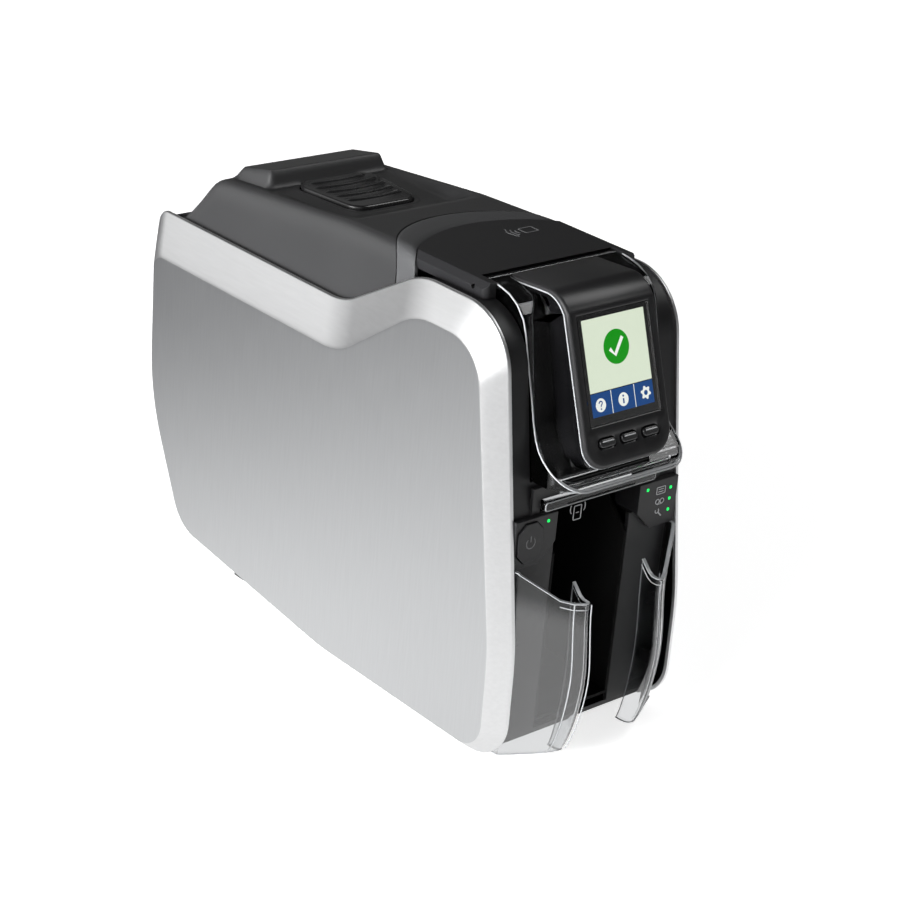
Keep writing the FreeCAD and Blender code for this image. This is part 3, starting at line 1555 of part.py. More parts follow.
def cover_screws():
    """Four screws of the rear cover."""
    screws = []
    for x, z in screw_places():
        y1 = back_wall_y(z + screw_head_r, 0)
        head = stud(y1, y1 + screw_head_h, x, z, screw_head_r)
        shank = stud(y1 - screw_len, y1, x, z, screw_shank_r)
        screws.append(head.fuse(shank).removeSplitter())
    return Part.makeCompound(screws)


def main():
    """Build every sub-part and write its file."""
    panel = panel_solid()
    save("right_side_panel", panel)
    save("left_side_panel", mirror_x(panel))
    save("right_frame_plate", frame_plate(True))
    save("left_frame_plate", mirror_x(frame_plate(False)))
    save("base_tray", base_tray())
    save("rubber_feet", rubber_feet())
    save("rear_cover", rear_cover())
    save("power_jack", power_jack())
    save("data_sockets", Part.makeCompound([socket(usb_x, usb_half, usb_mouth_half, True),
                                            socket(net_x, net_half, net_mouth_half, False)]))
    save("circuit_boards", main_board())
    save("board_chips", board_chips())
    save("card_deck", card_deck())
    names = ("feed_roller", "platen_roller", "exit_roller")
    for name, y in zip(names, roller_y):
        save(name, roller(y))
        save(name + "_gear", gear(y, roller_z, gear_pitch_r, drive_half, 0))
    save("roller_bushings", bushings())
    for name, y in zip(("front_idler_gear", "rear_idler_gear"), idler_places()):
        save(name, idler(y))
    save("drive_motor", motor())
    save("motor_pinion", motor_spindle())
    save("ribbon_cassette", cassette_frame())
    for name, y, r in zip(("take_up", "supply"), spool_y, film_r):
        save(name + "_spool", spool(y))
        save(name + "_ribbon_roll", film_roll(y, r))
    save("cleaning_roller", cleaning_roller())
    save("lid_shell", lid_shell())
    save("lid_band", lid_band())
    save("release_pad", release_pad())
    save("latch_bar", latch_bar())
    save("latch_keepers", keeper_posts())
    save("hinge_pins", hinge_pins())
    save("print_head", print_head())
    save("head_heat_sink", heat_sink())
    save("head_bracket", head_bracket())
    save("front_housing", front_housing())
    save("slot_visor", slot_visor())
    save("reader_cover", top_cover())
    save("reader_skirt", cover_skirt())
    save("display_bezel", display_bezel())
    save("display_glass", display_glass())
    save("lcd_screen", lcd_screen())
    for name, i in (("left", -1), ("middle", 0), ("right", 1)):
        save(name + "_menu_button", menu_button(i))
    save("door_frame", door_frame())
    save("door_skirt", door_skirt())
    save("input_hopper", input_hopper())
    save("card_weight", card_weight())
    save("left_front_block", left_block())
    save("right_front_block", right_block())
    save("power_button", power_button())
    save("status_lights", status_lights())
    clear = guard()
    save("right_card_guard", clear)
    save("left_card_guard", mirror_x(clear))
    save("output_hopper", output_hopper())
    save("cover_screws", cover_screws())


main()
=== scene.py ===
"""Looks of a desktop card printer: its finishes, shells, display and studio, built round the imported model."""

import json
import logging
import math
from dataclasses import dataclass, field
from enum import Enum
from typing import Callable, Iterable, Sequence

import bmesh
import bpy
from mathutils import Matrix, Vector


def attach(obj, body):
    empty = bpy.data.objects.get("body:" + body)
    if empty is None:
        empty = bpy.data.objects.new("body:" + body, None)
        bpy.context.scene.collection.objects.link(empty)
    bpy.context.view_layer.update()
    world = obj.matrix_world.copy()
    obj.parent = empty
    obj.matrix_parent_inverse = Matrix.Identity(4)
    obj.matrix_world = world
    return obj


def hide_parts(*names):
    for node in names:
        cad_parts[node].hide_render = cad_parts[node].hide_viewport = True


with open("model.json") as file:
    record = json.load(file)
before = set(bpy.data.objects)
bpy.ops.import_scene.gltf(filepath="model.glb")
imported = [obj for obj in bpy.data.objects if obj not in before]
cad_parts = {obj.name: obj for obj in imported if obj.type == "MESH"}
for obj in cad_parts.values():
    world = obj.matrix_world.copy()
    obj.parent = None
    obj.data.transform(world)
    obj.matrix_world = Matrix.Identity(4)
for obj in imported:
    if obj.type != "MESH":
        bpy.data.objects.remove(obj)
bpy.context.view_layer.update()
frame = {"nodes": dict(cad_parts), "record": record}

log = logging.getLogger("card_printer")
materials: dict[str, bpy.types.Material] = {}

MM = 0.001
WELD = 0.002 * MM
Point2 = tuple[float, float]
Colour = tuple[float, float, float]
Corner = tuple[float, float, float]
Station = tuple[float, float, float, float]
Placer = Callable[[float, float, float], Corner]
EVEN = (1.0, 1.0, 1.0)


class Side(Enum):
    """Which side of the printer a mirrored piece stands on."""

    LEFT = -1
    RIGHT = 1


class Field:
    """A value or colour on its way through the nodes of one material."""

    def __init__(self, graph: "Graph", socket: bpy.types.NodeSocket) -> None:
        """Wraps one output socket of the graph."""
        self.graph = graph
        self.socket = socket

    def _math(self, operation: str, *values: "Field | float") -> "Field":
        """Adds a Math node on the given values in their order."""
        return self.graph.node("ShaderNodeMath", {"operation": operation}, dict(enumerate(values)))

    def __add__(self, other: "Field | float") -> "Field":
        """Sum."""
        return self._math("ADD", self, other)

    def __radd__(self, other: float) -> "Field":
        """Reflected sum."""
        return self._math("ADD", other, self)

    def __sub__(self, other: "Field | float") -> "Field":
        """Difference."""
        return self._math("SUBTRACT", self, other)

    def __rsub__(self, other: float) -> "Field":
        """Reflected difference."""
        return self._math("SUBTRACT", other, self)

    def __mul__(self, other: "Field | float") -> "Field":
        """Product."""
        return self._math("MULTIPLY", self, other)

    def __rmul__(self, other: float) -> "Field":
        """Reflected product."""
        return self._math("MULTIPLY", other, self)

    def step(self, low: float, high: float) -> "Field":
        """Smooth rise from 0 at low to 1 at high."""
        inputs = {"Value": self, "From Min": low, "From Max": high}
        return self.graph.node("ShaderNodeMapRange", {"interpolation_type": "SMOOTHSTEP"}, inputs)


class Graph:
    """The node tree of one material or world."""

    def __init__(self, owner: "str | bpy.types.World") -> None:
        """Starts empty, in a new material of that name or in the given world."""
        if isinstance(owner, str):
            materials[owner] = bpy.data.materials.new(owner)
            owner = materials[owner]
        owner.use_nodes = True
        self.tree = owner.node_tree
        self.tree.nodes.clear()

    def node(
        self, kind: str, settings: dict[str, object] | None = None, inputs: dict[str | int, object] | None = None,
        output: str | int = 0,
    ) -> Field:
        """Adds a node: its settings first, then the values and links of its sockets.

        Args:
            kind: the node's type name.
            settings: attributes such as an operation.
            inputs: socket name or index to a value, colour or Field.
            output: the socket that the returned Field reads.

        Returns:
            The chosen output as a Field.
        """
        made = self.tree.nodes.new(kind)
        for key, value in (settings or {}).items():
            setattr(made, key, value)
        for key, value in (inputs or {}).items():
            socket = made.inputs[key]
            if isinstance(value, Field):
                self.tree.links.new(value.socket, socket)
            elif socket.type == "RGBA" and len(value) == 3:
                socket.default_value = (*value, 1.0)
            else:
                socket.default_value = value
        return Field(self, made.outputs[output] if made.outputs else made.inputs[0])

    def place(self) -> Field:
        """Object coordinates, in metres of the part's frame."""
        return self.node("ShaderNodeTexCoord", output="Object")

    def axis(self, name: str, where: Field | None = None) -> Field:
        """The X, Y or Z of a place, or of the object coordinates."""
        return self.node("ShaderNodeSeparateXYZ", None, {0: where or self.place()}, name)

    def noise(self, scale: float, detail: float = 2.0, stretch: Corner = EVEN) -> Field:
        """Cloudy noise from 0 to 1.

        Args:
            scale: grains per metre.
            detail: octaves.
            stretch: factor on each coordinate, for streaks.

        Returns:
            The noise value.
        """
        where = self.node("ShaderNodeVectorMath", {"operation": "MULTIPLY"}, {0: self.place(), 1: stretch})
        return self.node("ShaderNodeTexNoise", None, {"Vector": where, "Scale": scale, "Detail": detail})

    def mix(self, share: "Field | float", first: object, second: object) -> Field:
        """Colour between two colours, the first at share 0 and the second at 1."""
        return self.node("ShaderNodeMix", {"data_type": "RGBA"}, {0: share, 6: first, 7: second}, 2)

    def soft_edge(self, radius: float) -> Field:
        """Normal that rounds the piece's edges by a radius in metres."""
        return self.node("ShaderNodeBevel", {"samples": 4}, {"Radius": radius})

    def bump(self, height: Field, depth: float, under: Field | None = None) -> Field:
        """Surface relief.

        Args:
            height: height map from 0 to 1.
            depth: relief in metres.
            under: normal that the relief stands on.

        Returns:
            The normal for a shader.
        """
        inputs = {"Strength": 1.0, "Distance": depth, "Height": height}
        if under is not None:
            inputs["Normal"] = under
        return self.node("ShaderNodeBump", None, inputs)

    def close(self, **sockets: object) -> None:
        """Ends the material with a Principled shader; the names take underscores for spaces."""
        inputs = {name.replace("_", " "): value for name, value in sockets.items()}
        shader = self.node("ShaderNodeBsdfPrincipled", None, inputs, "BSDF")
        self.node("ShaderNodeOutputMaterial", None, {"Surface": shader})


def turning(corners: Sequence[Corner], i: int) -> tuple[Vector, Vector, float]:
    """A corner's point, the direction that leads to it and the angle that the outline turns there."""
    here = Vector(corners[i][:2])
    before = (here - Vector(corners[i - 1][:2])).normalized()
    after = (Vector(corners[(i + 1) % len(corners)][:2]) - here).normalized()
    return here, before, math.atan2(before.x * after.y - before.y * after.x, before.dot(after))


def rounded(corners: Sequence[Corner], steps: int = 8, runs: int = 1) -> list[Point2]:
    """Closed outline with round corners.

    Args:
        corners: flat corners as (u, v, radius), in order round the outline.
        steps: chords in each round corner.
        runs: pieces that each straight run is cut into.

    Returns:
        The outline's points.
    """
    arcs = []
    for i, (_, _, radius) in enumerate(corners):
        here, before, turn = turning(corners, i)
        if radius <= 0 or abs(turn) < 1e-6:
            arcs.append([here])
            continue
        start = here - before * radius * math.tan(abs(turn) / 2)
        centre = start + Vector((-before.y, before.x)) * math.copysign(radius, turn)
        arcs.append([centre + Matrix.Rotation(turn * k / steps, 2) @ (start - centre) for k in range(steps + 1)])
    outline = []
    for i, bend in enumerate(arcs):
        following = arcs[(i + 1) % len(arcs)][0]
        outline += bend + [bend[-1].lerp(following, k / runs) for k in range(1, runs)]
    return [(p.x, p.y) for p in outline]


def inset(corners: Sequence[Corner], depth: float) -> list[Corner]:
    """Corner list of an anticlockwise outline moved inward.

    Args:
        corners: flat corners as (u, v, radius).
        depth: how far every side moves in; a negative depth moves it out.

    Returns:
        The moved corners with their radii fitted.
    """
    moved = []
    for i, (_, _, radius) in enumerate(corners):
        here, before, turn = turning(corners, i)
        place = here + Vector((-before.y, before.x)) * depth - before * depth * math.tan(turn / 2)
        fitted = max(radius - math.copysign(depth, turn), 0.05) if radius > 0 else 0.0
        moved.append((place.x, place.y, fitted))
    return moved


def plate(u0: float, u1: float, v0: float, v1: float, radius: float) -> list[Corner]:
    """Corner list of an upright oblong with equal round corners."""
    return [(u1, v1, radius), (u0, v1, radius), (u0, v0, radius), (u1, v0, radius)]


def stud(u: float, v: float, half: float, radius: float) -> list[Corner]:
    """Corner list of a small square about a point."""
    return plate(u - half, u + half, v - half, v + half, radius)


def oblong(u0: float, u1: float, v0: float, v1: float) -> list[Point2]:
    """Outline of a sharp oblong."""
    return [(u1, v0), (u0, v0), (u0, v1), (u1, v1)]


def arc(u: float, v: float, radius: float, start: float, sweep: float, steps: int) -> list[Point2]:
    """Points along an arc.

    Args:
        u: centre across.
        v: centre up.
        radius: radius of the arc.
        start: first angle in degrees, from the u axis.
        sweep: degrees to the last point.
        steps: chords of the arc.

    Returns:
        The points, both ends included.
    """
    angles = [math.radians(start + sweep * k / steps) for k in range(steps + 1)]
    return [(u + radius * math.cos(a), v + radius * math.sin(a)) for a in angles]


def ring(u: float, v: float, radius: float, count: int) -> list[Point2]:
    """Points round a circle."""
    return arc(u, v, radius, 0.0, 360.0, count)[:-1]


def quarter(steps: int) -> list[Point2]:
    """Cosine and sine of the angles of a quarter turn, both ends included."""
    return arc(0.0, 0.0, 1.0, 0.0, 90.0, steps)


def beside(line: Sequence, i: int, closed: bool = False) -> tuple:
    """The points before and after one point of a line, or the point itself at an open end."""
    before = line[i - 1] if i > 0 or closed else line[i]
    after = line[(i + 1) % len(line)] if i < len(line) - 1 or closed else line[i]
    return before, after


def mirrored(line: Sequence[Corner]) -> list[Corner]:
    """A line that ends in the middle plane, run on to its mirrored start."""
    return [*line, *((-x, y, z) for x, y, z in line[::-1])]


def part_way(value: float, low: float, high: float) -> float:
    """Straight rise from 0 at low to 1 at high, level outside."""
    return min(max((value - low) / (high - low), 0.0), 1.0)


def ease(value: float, low: float, high: float) -> float:
    """Smooth rise from 0 at low to 1 at high, level outside."""
    share = part_way(value, low, high)
    return share * share * (3 - 2 * share)


def reading(line: Sequence[Point2], where: float) -> float:
    """Height of a falling or rising line at one place.

    Args:
        line: points (u, v) of the line.
        where: the u to read at.

    Returns:
        The highest v that the line has there, or that of its nearer end.
    """
    found = []
    for (u0, v0), (u1, v1) in zip(line, line[1:]):
        if min(u0, u1) <= where <= max(u0, u1) and abs(u1 - u0) > 1e-9:
            found.append(v0 + (v1 - v0) * (where - u0) / (u1 - u0))
    if found:
        return max(found)
    return min(line, key=lambda point: abs(point[0] - where))[1]


def front_place(u: float, v: float, depth: float) -> Corner:
    """Puts a front outline point (x, z) at y = depth."""
    return (u, depth, v)


def plan_place(u: float, v: float, depth: float) -> Corner:
    """Puts a plan outline point (x, y) at z = depth."""
    return (u, v, depth)


class Shell:
    """Collects the points and faces of one piece, in millimetres, and makes its object."""

    def __init__(self, side: Side = Side.RIGHT) -> None:
        """Starts empty; a piece for the left side is mirrored."""
        self.flip = float(side.value)
        self.points: list[Corner] = []
        self.faces: list[tuple[list[int], int]] = []

    def row(self, points: Iterable[Corner]) -> list[int]:
        """Adds points and returns their numbers."""
        first = len(self.points)
        self.points += [(x * self.flip, y, z) for x, y, z in points]
        return list(range(first, len(self.points)))

    def loop(self, outline: Iterable[Point2], place: Placer, depth: float) -> list[int]:
        """Adds a flat outline's points at one depth and returns their numbers."""
        return self.row(place(u, v, depth) for u, v in outline)

    def bridge(self, first: Sequence[int], second: Sequence[int], finish: int = 0, closed: bool = False) -> None:
        """Joins two rows of points with four-sided faces.

        Args:
            first: one row.
            second: the other row, of the same length.
            finish: number of the material.
            closed: whether the rows run round.
        """
        count = len(first)
        for i in range(count if closed else count - 1):
            j = (i + 1) % count
            self.faces.append(([first[i], first[j], second[j], second[i]], finish))

    def skin(self, rows: Sequence[Sequence[int]], finish: int = 0, closed: bool = False) -> None:
        """Joins rows one after the other."""
        for first, second in zip(rows, rows[1:]):
            self.bridge(first, second, finish, closed)

    def cap(self, line: Sequence[int], finish: int = 0) -> None:
        """Closes a ring with one face."""
        self.faces.append((list(line), finish))

    def ends(self, rings: Sequence[Sequence[int]], finish: int = 0) -> None:
        """Closes the first and the last ring of a tube."""
        self.cap(rings[0][::-1], finish)
        self.cap(rings[-1], finish)

    def hem(self, upper: Sequence[Sequence[int]], lower: Sequence[Sequence[int]]) -> None:
        """Closes the four edges between two sheets of rows."""
        for i in (0, -1):
            self.bridge(upper[i], lower[i])
            self.bridge([row[i] for row in upper], [row[i] for row in lower])

    def prism(self, outline: Sequence[Point2], place: Placer, low: float, high: float, finish: int = 0) -> None:
        """Adds a closed bar of one outline.

        Args:
            outline: flat points.
            place: puts a flat point and a depth in space.
            low: depth of one end.
            high: depth of the other end.
            finish: number of the material.
        """
        rings = [self.loop(outline, place, depth) for depth in (low, high)]
        self.bridge(*rings, finish, True)
        self.ends(rings, finish)

    def pillow(
        self, corners: Sequence[Corner], place: Placer, low: float, high: float, soft: float, finish: int = 0,
        steps: int = 6,
    ) -> None:
        """Adds a closed bar whose upper edge is rounded.

        Args:
            corners: flat corners as (u, v, radius).
            place: puts a flat point and a depth in space.
            low: depth of the base.
            high: depth of the face.
            soft: radius of the rounded edge.
            finish: number of the material.
            steps: chords in each round corner.
        """
        toward = math.copysign(1.0, high - low)
        rings = [self.loop(rounded(corners, steps), place, low)]
        for across, along in quarter(4):
            line = rounded(inset(corners, soft * (1 - across)), steps)
            rings.append(self.loop(line, place, high - toward * soft * (1 - along)))
        self.skin(rings, finish, True)
        self.ends(rings, finish)

    def stroke(
        self, line: Sequence[Point2], wide: float, place: Placer, low: float, high: float, finish: int = 0,
        closed: bool = False,
    ) -> None:
        """Adds a flat band that follows a line, such as a printed sign's stroke.

        Args:
            line: the middle of the band, flat.
            wide: the band's width.
            place: puts a flat point and a depth in space.
            low: depth of its back.
            high: depth of its face.
            finish: number of the material.
            closed: whether the line runs round.
        """
        sides: list[list[Point2]] = [[], []]
        for i, (u, v) in enumerate(line):
            before, after = beside(line, i, closed)
            along = Vector((after[0] - before[0], after[1] - before[1])).normalized()
            for side, sign in zip(sides, (0.5, -0.5)):
                side.append((u - along.y * wide * sign, v + along.x * wide * sign))
        tops = [self.loop(side, place, high) for side in sides]
        backs = [self.loop(side, place, low) for side in sides]
        for first, second in ((tops[0], tops[1]), (backs[0], tops[0]), (tops[1], backs[1]), (backs[1], backs[0])):
            self.bridge(first, second, finish, closed)
        if not closed:
            for i in (0, -1):
                self.cap([tops[0][i], tops[1][i], backs[1][i], backs[0][i]], finish)

    def bead(
        self, line: Sequence[Corner], radius: float, finish: int = 0, closed: bool = False, chords: int = 10,
    ) -> None:
        """Adds a round bead that follows a line in space.

        Args:
            line: the bead's middle.
            radius: the bead's radius.
            finish: number of the material.
            closed: whether the line runs round.
            chords: sides of the bead.
        """
        points = [Vector(point) for point in line]
        side = Vector((0.31, 0.52, 0.79)).normalized()
        rings = []
        for i, point in enumerate(points):
            before, after = beside(points, i, closed)
            along = (after - before).normalized()
            side = (side - along * side.dot(along)).normalized()
            up = along.cross(side)
            rings.append(self.row(tuple(point + side * u + up * v) for u, v in ring(0.0, 0.0, radius, chords)))
        self.skin(rings, finish, True)
        if closed:
            self.bridge(rings[-1], rings[0], finish, True)
        else:
            self.ends(rings, finish)

    def piece(
        self, name: str, body: str, slot: str, finishes: Sequence[str], nodes: Sequence[str] = (),
        angle: float = 35.0,
    ) -> None:
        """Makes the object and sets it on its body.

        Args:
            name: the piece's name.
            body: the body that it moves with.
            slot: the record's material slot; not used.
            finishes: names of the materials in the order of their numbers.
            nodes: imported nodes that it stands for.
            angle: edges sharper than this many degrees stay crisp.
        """
        mesh = bpy.data.meshes.new(name)
        mesh.from_pydata([(x * MM, y * MM, z * MM) for x, y, z in self.points], [], [f for f, _ in self.faces])
        mesh.polygons.foreach_set("material_index", [finish for _, finish in self.faces])
        form = bmesh.new()
        form.from_mesh(mesh)
        bmesh.ops.remove_doubles(form, verts=form.verts, dist=WELD)
        bmesh.ops.dissolve_degenerate(form, edges=form.edges, dist=WELD / 2)
        bmesh.ops.recalc_face_normals(form, faces=form.faces)
        form.to_mesh(mesh)
        form.free()
        mesh.shade_smooth()
        mesh.set_sharp_from_angle(angle=math.radians(angle))
        for finish in finishes:
            mesh.materials.append(materials[finish])
        made = bpy.data.objects.new(name, mesh)
        bpy.context.scene.collection.objects.link(made)
        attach(made, body)
        if nodes:
            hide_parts(*nodes)
        log.info("made %s with %d faces on %s", name, len(mesh.polygons), body)


def shade(colour: Colour, factor: float, lift: float = 0.0) -> Colour:
    """A colour made darker or lighter."""
    return tuple(c * factor + lift for c in colour)


@dataclass(frozen=True)
class Plastic:
    """Moulded plastic with fine spark-eroded grain and faint handling marks."""

    name: str
    colour: Colour
    roughness: float = 0.45
    grain: float = 2600.0
    depth: float = 0.000008
    edge: float = 0.0006
    gleam: float = 0.5
    marks: float = 18.0

    def material(self) -> None:
        """Builds the finish."""
        g = Graph(self.name)
        grain = g.noise(self.grain, 3.0)
        cloud = g.noise(self.marks, 4.0)
        colour = g.mix(cloud, shade(self.colour, 0.86), self.colour)
        rough = self.roughness - 0.05 + cloud * 0.1
        relief = g.bump(grain, self.depth, g.soft_edge(self.edge))
        g.close(Base_Color=colour, Roughness=rough, Normal=relief, Specular_IOR_Level=self.gleam)


@dataclass(frozen=True)
class Gloss:
    """Polished plastic with the slightest waviness."""

    name: str
    colour: Colour
    roughness: float = 0.08
    edge: float = 0.0006
    coat: float = 0.3
    waves: float = 60.0
    depth: float = 0.00001

    def material(self) -> None:
        """Builds the finish."""
        g = Graph(self.name)
        smear = g.noise(40.0, 3.0)
        g.close(
            Base_Color=g.mix(smear, self.colour, shade(self.colour, 1.15, 0.001)),
            Roughness=self.roughness + smear * 0.05, Coat_Weight=self.coat, Coat_Roughness=0.03,
            Normal=g.bump(g.noise(self.waves, 1.0), self.depth, g.soft_edge(self.edge)),
        )


@dataclass(frozen=True)
class Metal:
    """Bare, plated or metal-effect surface with drawn streaks."""

    name: str
    colour: Colour
    roughness: float = 0.3
    stretch: Corner = EVEN
    grain: float = 500.0
    edge: float = 0.0003
    depth: float = 0.00001

    def material(self) -> None:
        """Builds the finish."""
        g = Graph(self.name)
        streak = g.noise(self.grain, 3.0, self.stretch)
        cloud = g.noise(9.0, 3.0)
        g.close(
            Base_Color=g.mix(streak, shade(self.colour, 0.9), self.colour), Metallic=1.0,
            Roughness=self.roughness - 0.06 + streak * 0.08 + cloud * 0.04,
            Normal=g.bump(streak, self.depth, g.soft_edge(self.edge)),
        )


@dataclass(frozen=True)
class Clear:
    """Clear or lightly smoked moulded polycarbonate."""

    name: str
    tint: Colour
    gleam: float = 0.5
    index: float = 1.46

    def material(self) -> None:
        """Builds the finish."""
        g = Graph(self.name)
        cloud = g.noise(25.0, 2.0)
        g.close(
            Base_Color=g.mix(cloud, self.tint, shade(self.tint, 0.96)), Specular_IOR_Level=self.gleam,
            Transmission_Weight=1.0, IOR=self.index, Normal=g.bump(g.noise(20.0, 1.0), 0.00001),
            **self.face(g, cloud),
        )

    def face(self, g: Graph, cloud: Field) -> dict[str, object]:
        """Sockets of the moulded face, which is hardly less than polished."""
        return {"Roughness": cloud * 0.01}


@dataclass(frozen=True)
class Shield(Clear):
    """Clear guard plastic, glossier below a slanting line than above it."""

    low: float = 0.084
    high: float = 0.102
    slant: float = 0.3

    def face(self, g: Graph, cloud: Field) -> dict[str, object]:
        """Sockets of the moulded face with its line of gloss."""
        height = g.axis("Z") + g.axis("X") * self.slant
        return {"Roughness": 0.01, "Coat_IOR": 1.75, "Coat_Roughness": 0.03,
                "Coat_Weight": 1.0 - height.step(self.low, self.high)}


@dataclass(frozen=True)
class Glow:
    """A lit light pipe or display field."""

    name: str
    colour: Colour
    strength: float = 1.0
    unlit_share: float = 0.06

    def material(self) -> None:
        """Builds the finish."""
        g = Graph(self.name)
        soft = g.noise(300.0, 1.0)
        unlit = shade(self.colour, self.unlit_share)
        lit = g.mix(soft, self.colour, shade(self.colour, 0.96))
        g.close(
            Base_Color=g.mix(soft, unlit, self.colour if self.strength > 1.0 else unlit), Roughness=0.5,
            Specular_IOR_Level=0.1, Emission_Color=lit, Emission_Strength=self.strength,
        )


FINISHES = (
    Metal("silver_panel", (0.72, 0.73, 0.74), 0.42, (1.0, 1.0, 0.05), 700.0),
    # Lighter copy of the panel metal, brushed another way: its lighter colour paints the border's highlight.
    Metal("bright_border", (0.90, 0.905, 0.91), 0.40, (1.0, 0.1, 1.0)),
    Plastic("black_case", (0.012, 0.012, 0.013), 0.44, gleam=0.45),
    Plastic("lid_grey", (0.026, 0.0262, 0.027), 0.4, gleam=0.6),
    Plastic("grey_band", (0.056, 0.057, 0.059), 0.42),
    Plastic("bezel_grey", (0.017, 0.017, 0.018), 0.34),
    Plastic("pad_satin", (0.012, 0.012, 0.0125), 0.26, depth=0.000002, edge=0.0001, gleam=0.8),
    Plastic("black_rubber", (0.02, 0.02, 0.02), 0.75, 500.0, 0.00008),
    Plastic("mark_white", (0.62, 0.63, 0.64), 0.5),
    Plastic("mark_grey", (0.16, 0.16, 0.165), 0.5),
    Gloss("gloss_black", (0.006, 0.006, 0.007)),
    Gloss("pocket_black", (0.0015, 0.0015, 0.0018), 0.12),
    Clear("clear_shell", (0.93, 0.94, 0.95)),
    Shield("guard_clear", (0.74, 0.75, 0.76), 0.2),
    Clear("screen_glass", EVEN, 0.1),
    # Grey gloss for beads that paint the highlight lines caught by the edges of clear and black parts.
    Gloss("lit_edge", (0.30, 0.31, 0.32), 0.12),
    Glow("screen_light", (0.76, 0.85, 0.68)),
    Glow("screen_blue", (0.003, 0.055, 0.22)),
    Glow("screen_green", (0.001, 0.30, 0.002)),
    Glow("screen_white", (0.90, 0.93, 0.88)),
    # Matt near-black: dresses the hoppers, and paints the shade in the feed slot and in the screw recesses.
    Plastic("cavity_black", (0.003, 0.003, 0.003), 0.7, gleam=0.15),
    Gloss("button_grey", (0.014, 0.014, 0.015), 0.22),
    Glow("green_light", (0.01, 0.62, 0.09), 2.6),
    Plastic("white_gear", (0.70, 0.69, 0.64), 0.4),
    Plastic("cassette_plastic", (0.20, 0.21, 0.23)),
    Gloss("ribbon_film", (0.10, 0.03, 0.06), 0.2),
    Metal("plated_steel", (0.62, 0.63, 0.63), 0.35, (1.0, 0.05, 1.0)),
    Metal("sink_aluminium", (0.75, 0.76, 0.77), 0.3, (0.1, 1.0, 1.0)),
    Gloss("head_ceramic", (0.35, 0.30, 0.22), 0.2),
    Gloss("board_green", (0.01, 0.10, 0.04), 0.35),
    Plastic("chip_black", (0.02, 0.02, 0.022), 0.5),
    Metal("contact_gold", (0.83, 0.62, 0.28), 0.25),
    Metal("socket_metal", (0.70, 0.69, 0.66), 0.2),
)
# The hoppers take the matt near-black that elsewhere paints shade.
OWN_FINISH = {"output_hopper": "cavity_black", "input_hopper": "cavity_black", "power_button": "black_case",
              "door_frame": "pocket_black"}


def dress_frame() -> None:
    """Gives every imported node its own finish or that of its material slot."""
    for row in frame["record"]["subparts"]:
        node = frame["nodes"][row["node"]]
        finish = OWN_FINISH.get(row["node"], row["material_slot"])
        node.data.materials.clear()
        node.data.materials.append(materials[finish])
        log.info("dressed %s in %s", row["node"], finish)


PANEL_EDGE: list[Corner] = [
    (201.5, 242.5, 10.0), (1.6, 242.5, 50.0), (-68.6, 283.0, 50.0), (-145.0, 283.0, 40.0),
    (-177.5, 80.0, 200.0), (-178.5, 3.0, 30.0), (-10.0, 3.0, 200.0), (160.0, 22.0, 30.0), (200.0, 115.0, 150.0),
]


@dataclass
class SidePanels:
    """The two silver side panels: a pressed skin with a wide border round a brushed face; the border takes a lighter
    copy of the panel metal, which paints its bright highlight.
    """

    inner_x: float = 67.0
    rim_x: float = 69.0
    face_x: float = 80.0
    rim_flat: float = 0.6
    skin: float = 2.4
    steps: int = 14
    runs: int = 8
    top: float = 27.5
    crest: float = 19.5
    front: float = 10.5
    bottom: float = 9.0
    rear: float = 11.0
    border: tuple[Point2, ...] = ((0.02, 0.015), (0.05, 0.045), (0.25, 0.26), (0.5, 0.52), (0.75, 0.77),
                                  (0.9, 0.915), (0.96, 0.965), (1.0, 0.992))
    bend: tuple[Point2, ...] = ((0.7, 0.999), (2.0, 1.0))

    def build(self) -> None:
        """Makes both panels."""
        for side in Side:
            self._panel(side)

    def _face(self) -> list[Corner]:
        """Corner list of the flat face inside the border."""
        drops = [
            (-self.rear, -self.top, 0), (-self.rear, -self.top, 0), (-self.front, -self.crest, 0),
            (self.front, -self.crest, -self.front), (self.front, 0, 0), (self.front, self.bottom, -self.front),
            (0, self.bottom, 0), (-self.rear, self.bottom, 0), (-self.rear, 0, 0),
        ]
        return [(y + dy, z + dz, r + dr) for (y, z, r), (dy, dz, dr) in zip(PANEL_EDGE, drops)]

    def _line(self, corners: Sequence[Corner], depth: float = 0.0) -> list[Point2]:
        """Outline of a corner list moved inward, with as many points as every other ring."""
        return rounded(inset(corners, depth) if depth else corners, self.steps, self.runs)

    def _panel(self, side: Side) -> None:
        """One panel as rings from its inner rim over the border to the face.

        Args:
            side: the side that it stands on.
        """
        shell = Shell(side)
        face = self._face()
        outer, inner = self._line(PANEL_EDGE), self._line(face)
        rise = self.face_x - self.rim_x
        rings = [shell.row((x, y, z) for y, z in outer) for x in (self.inner_x, self.rim_x - self.rim_flat)]
        for share, lift in self.border:
            rings.append(shell.row(
                (self.rim_x + rise * lift, y0 + (y1 - y0) * share, z0 + (z1 - z0) * share)
                for (y0, z0), (y1, z1) in zip(outer, inner)
            ))
        shell.skin(rings, 0, True)
        flat = [rings[-1]]
        for depth, lift in self.bend:
            flat.append(shell.row((self.rim_x + rise * lift, y, z) for y, z in self._line(face, depth)))
        shell.skin(flat, 1, True)
        shell.cap(flat[-1], 1)
        places = ((self.inner_x, PANEL_EDGE), (self.rim_x, PANEL_EDGE), (self.face_x - self.skin, face))
        hidden = [shell.row((x, y, z) for y, z in self._line(corners, self.skin)) for x, corners in places]
        shell.skin(hidden, 2, True)
        shell.cap(hidden[-1], 2)
        shell.bridge(rings[0], hidden[0], 0, True)
        name = side.name.lower()
        finishes = ("bright_border", "silver_panel", "black_case")
        shell.piece(name + "_panel_skin", "printer", "silver_panel", finishes, [name + "_side_panel"], 50.0)


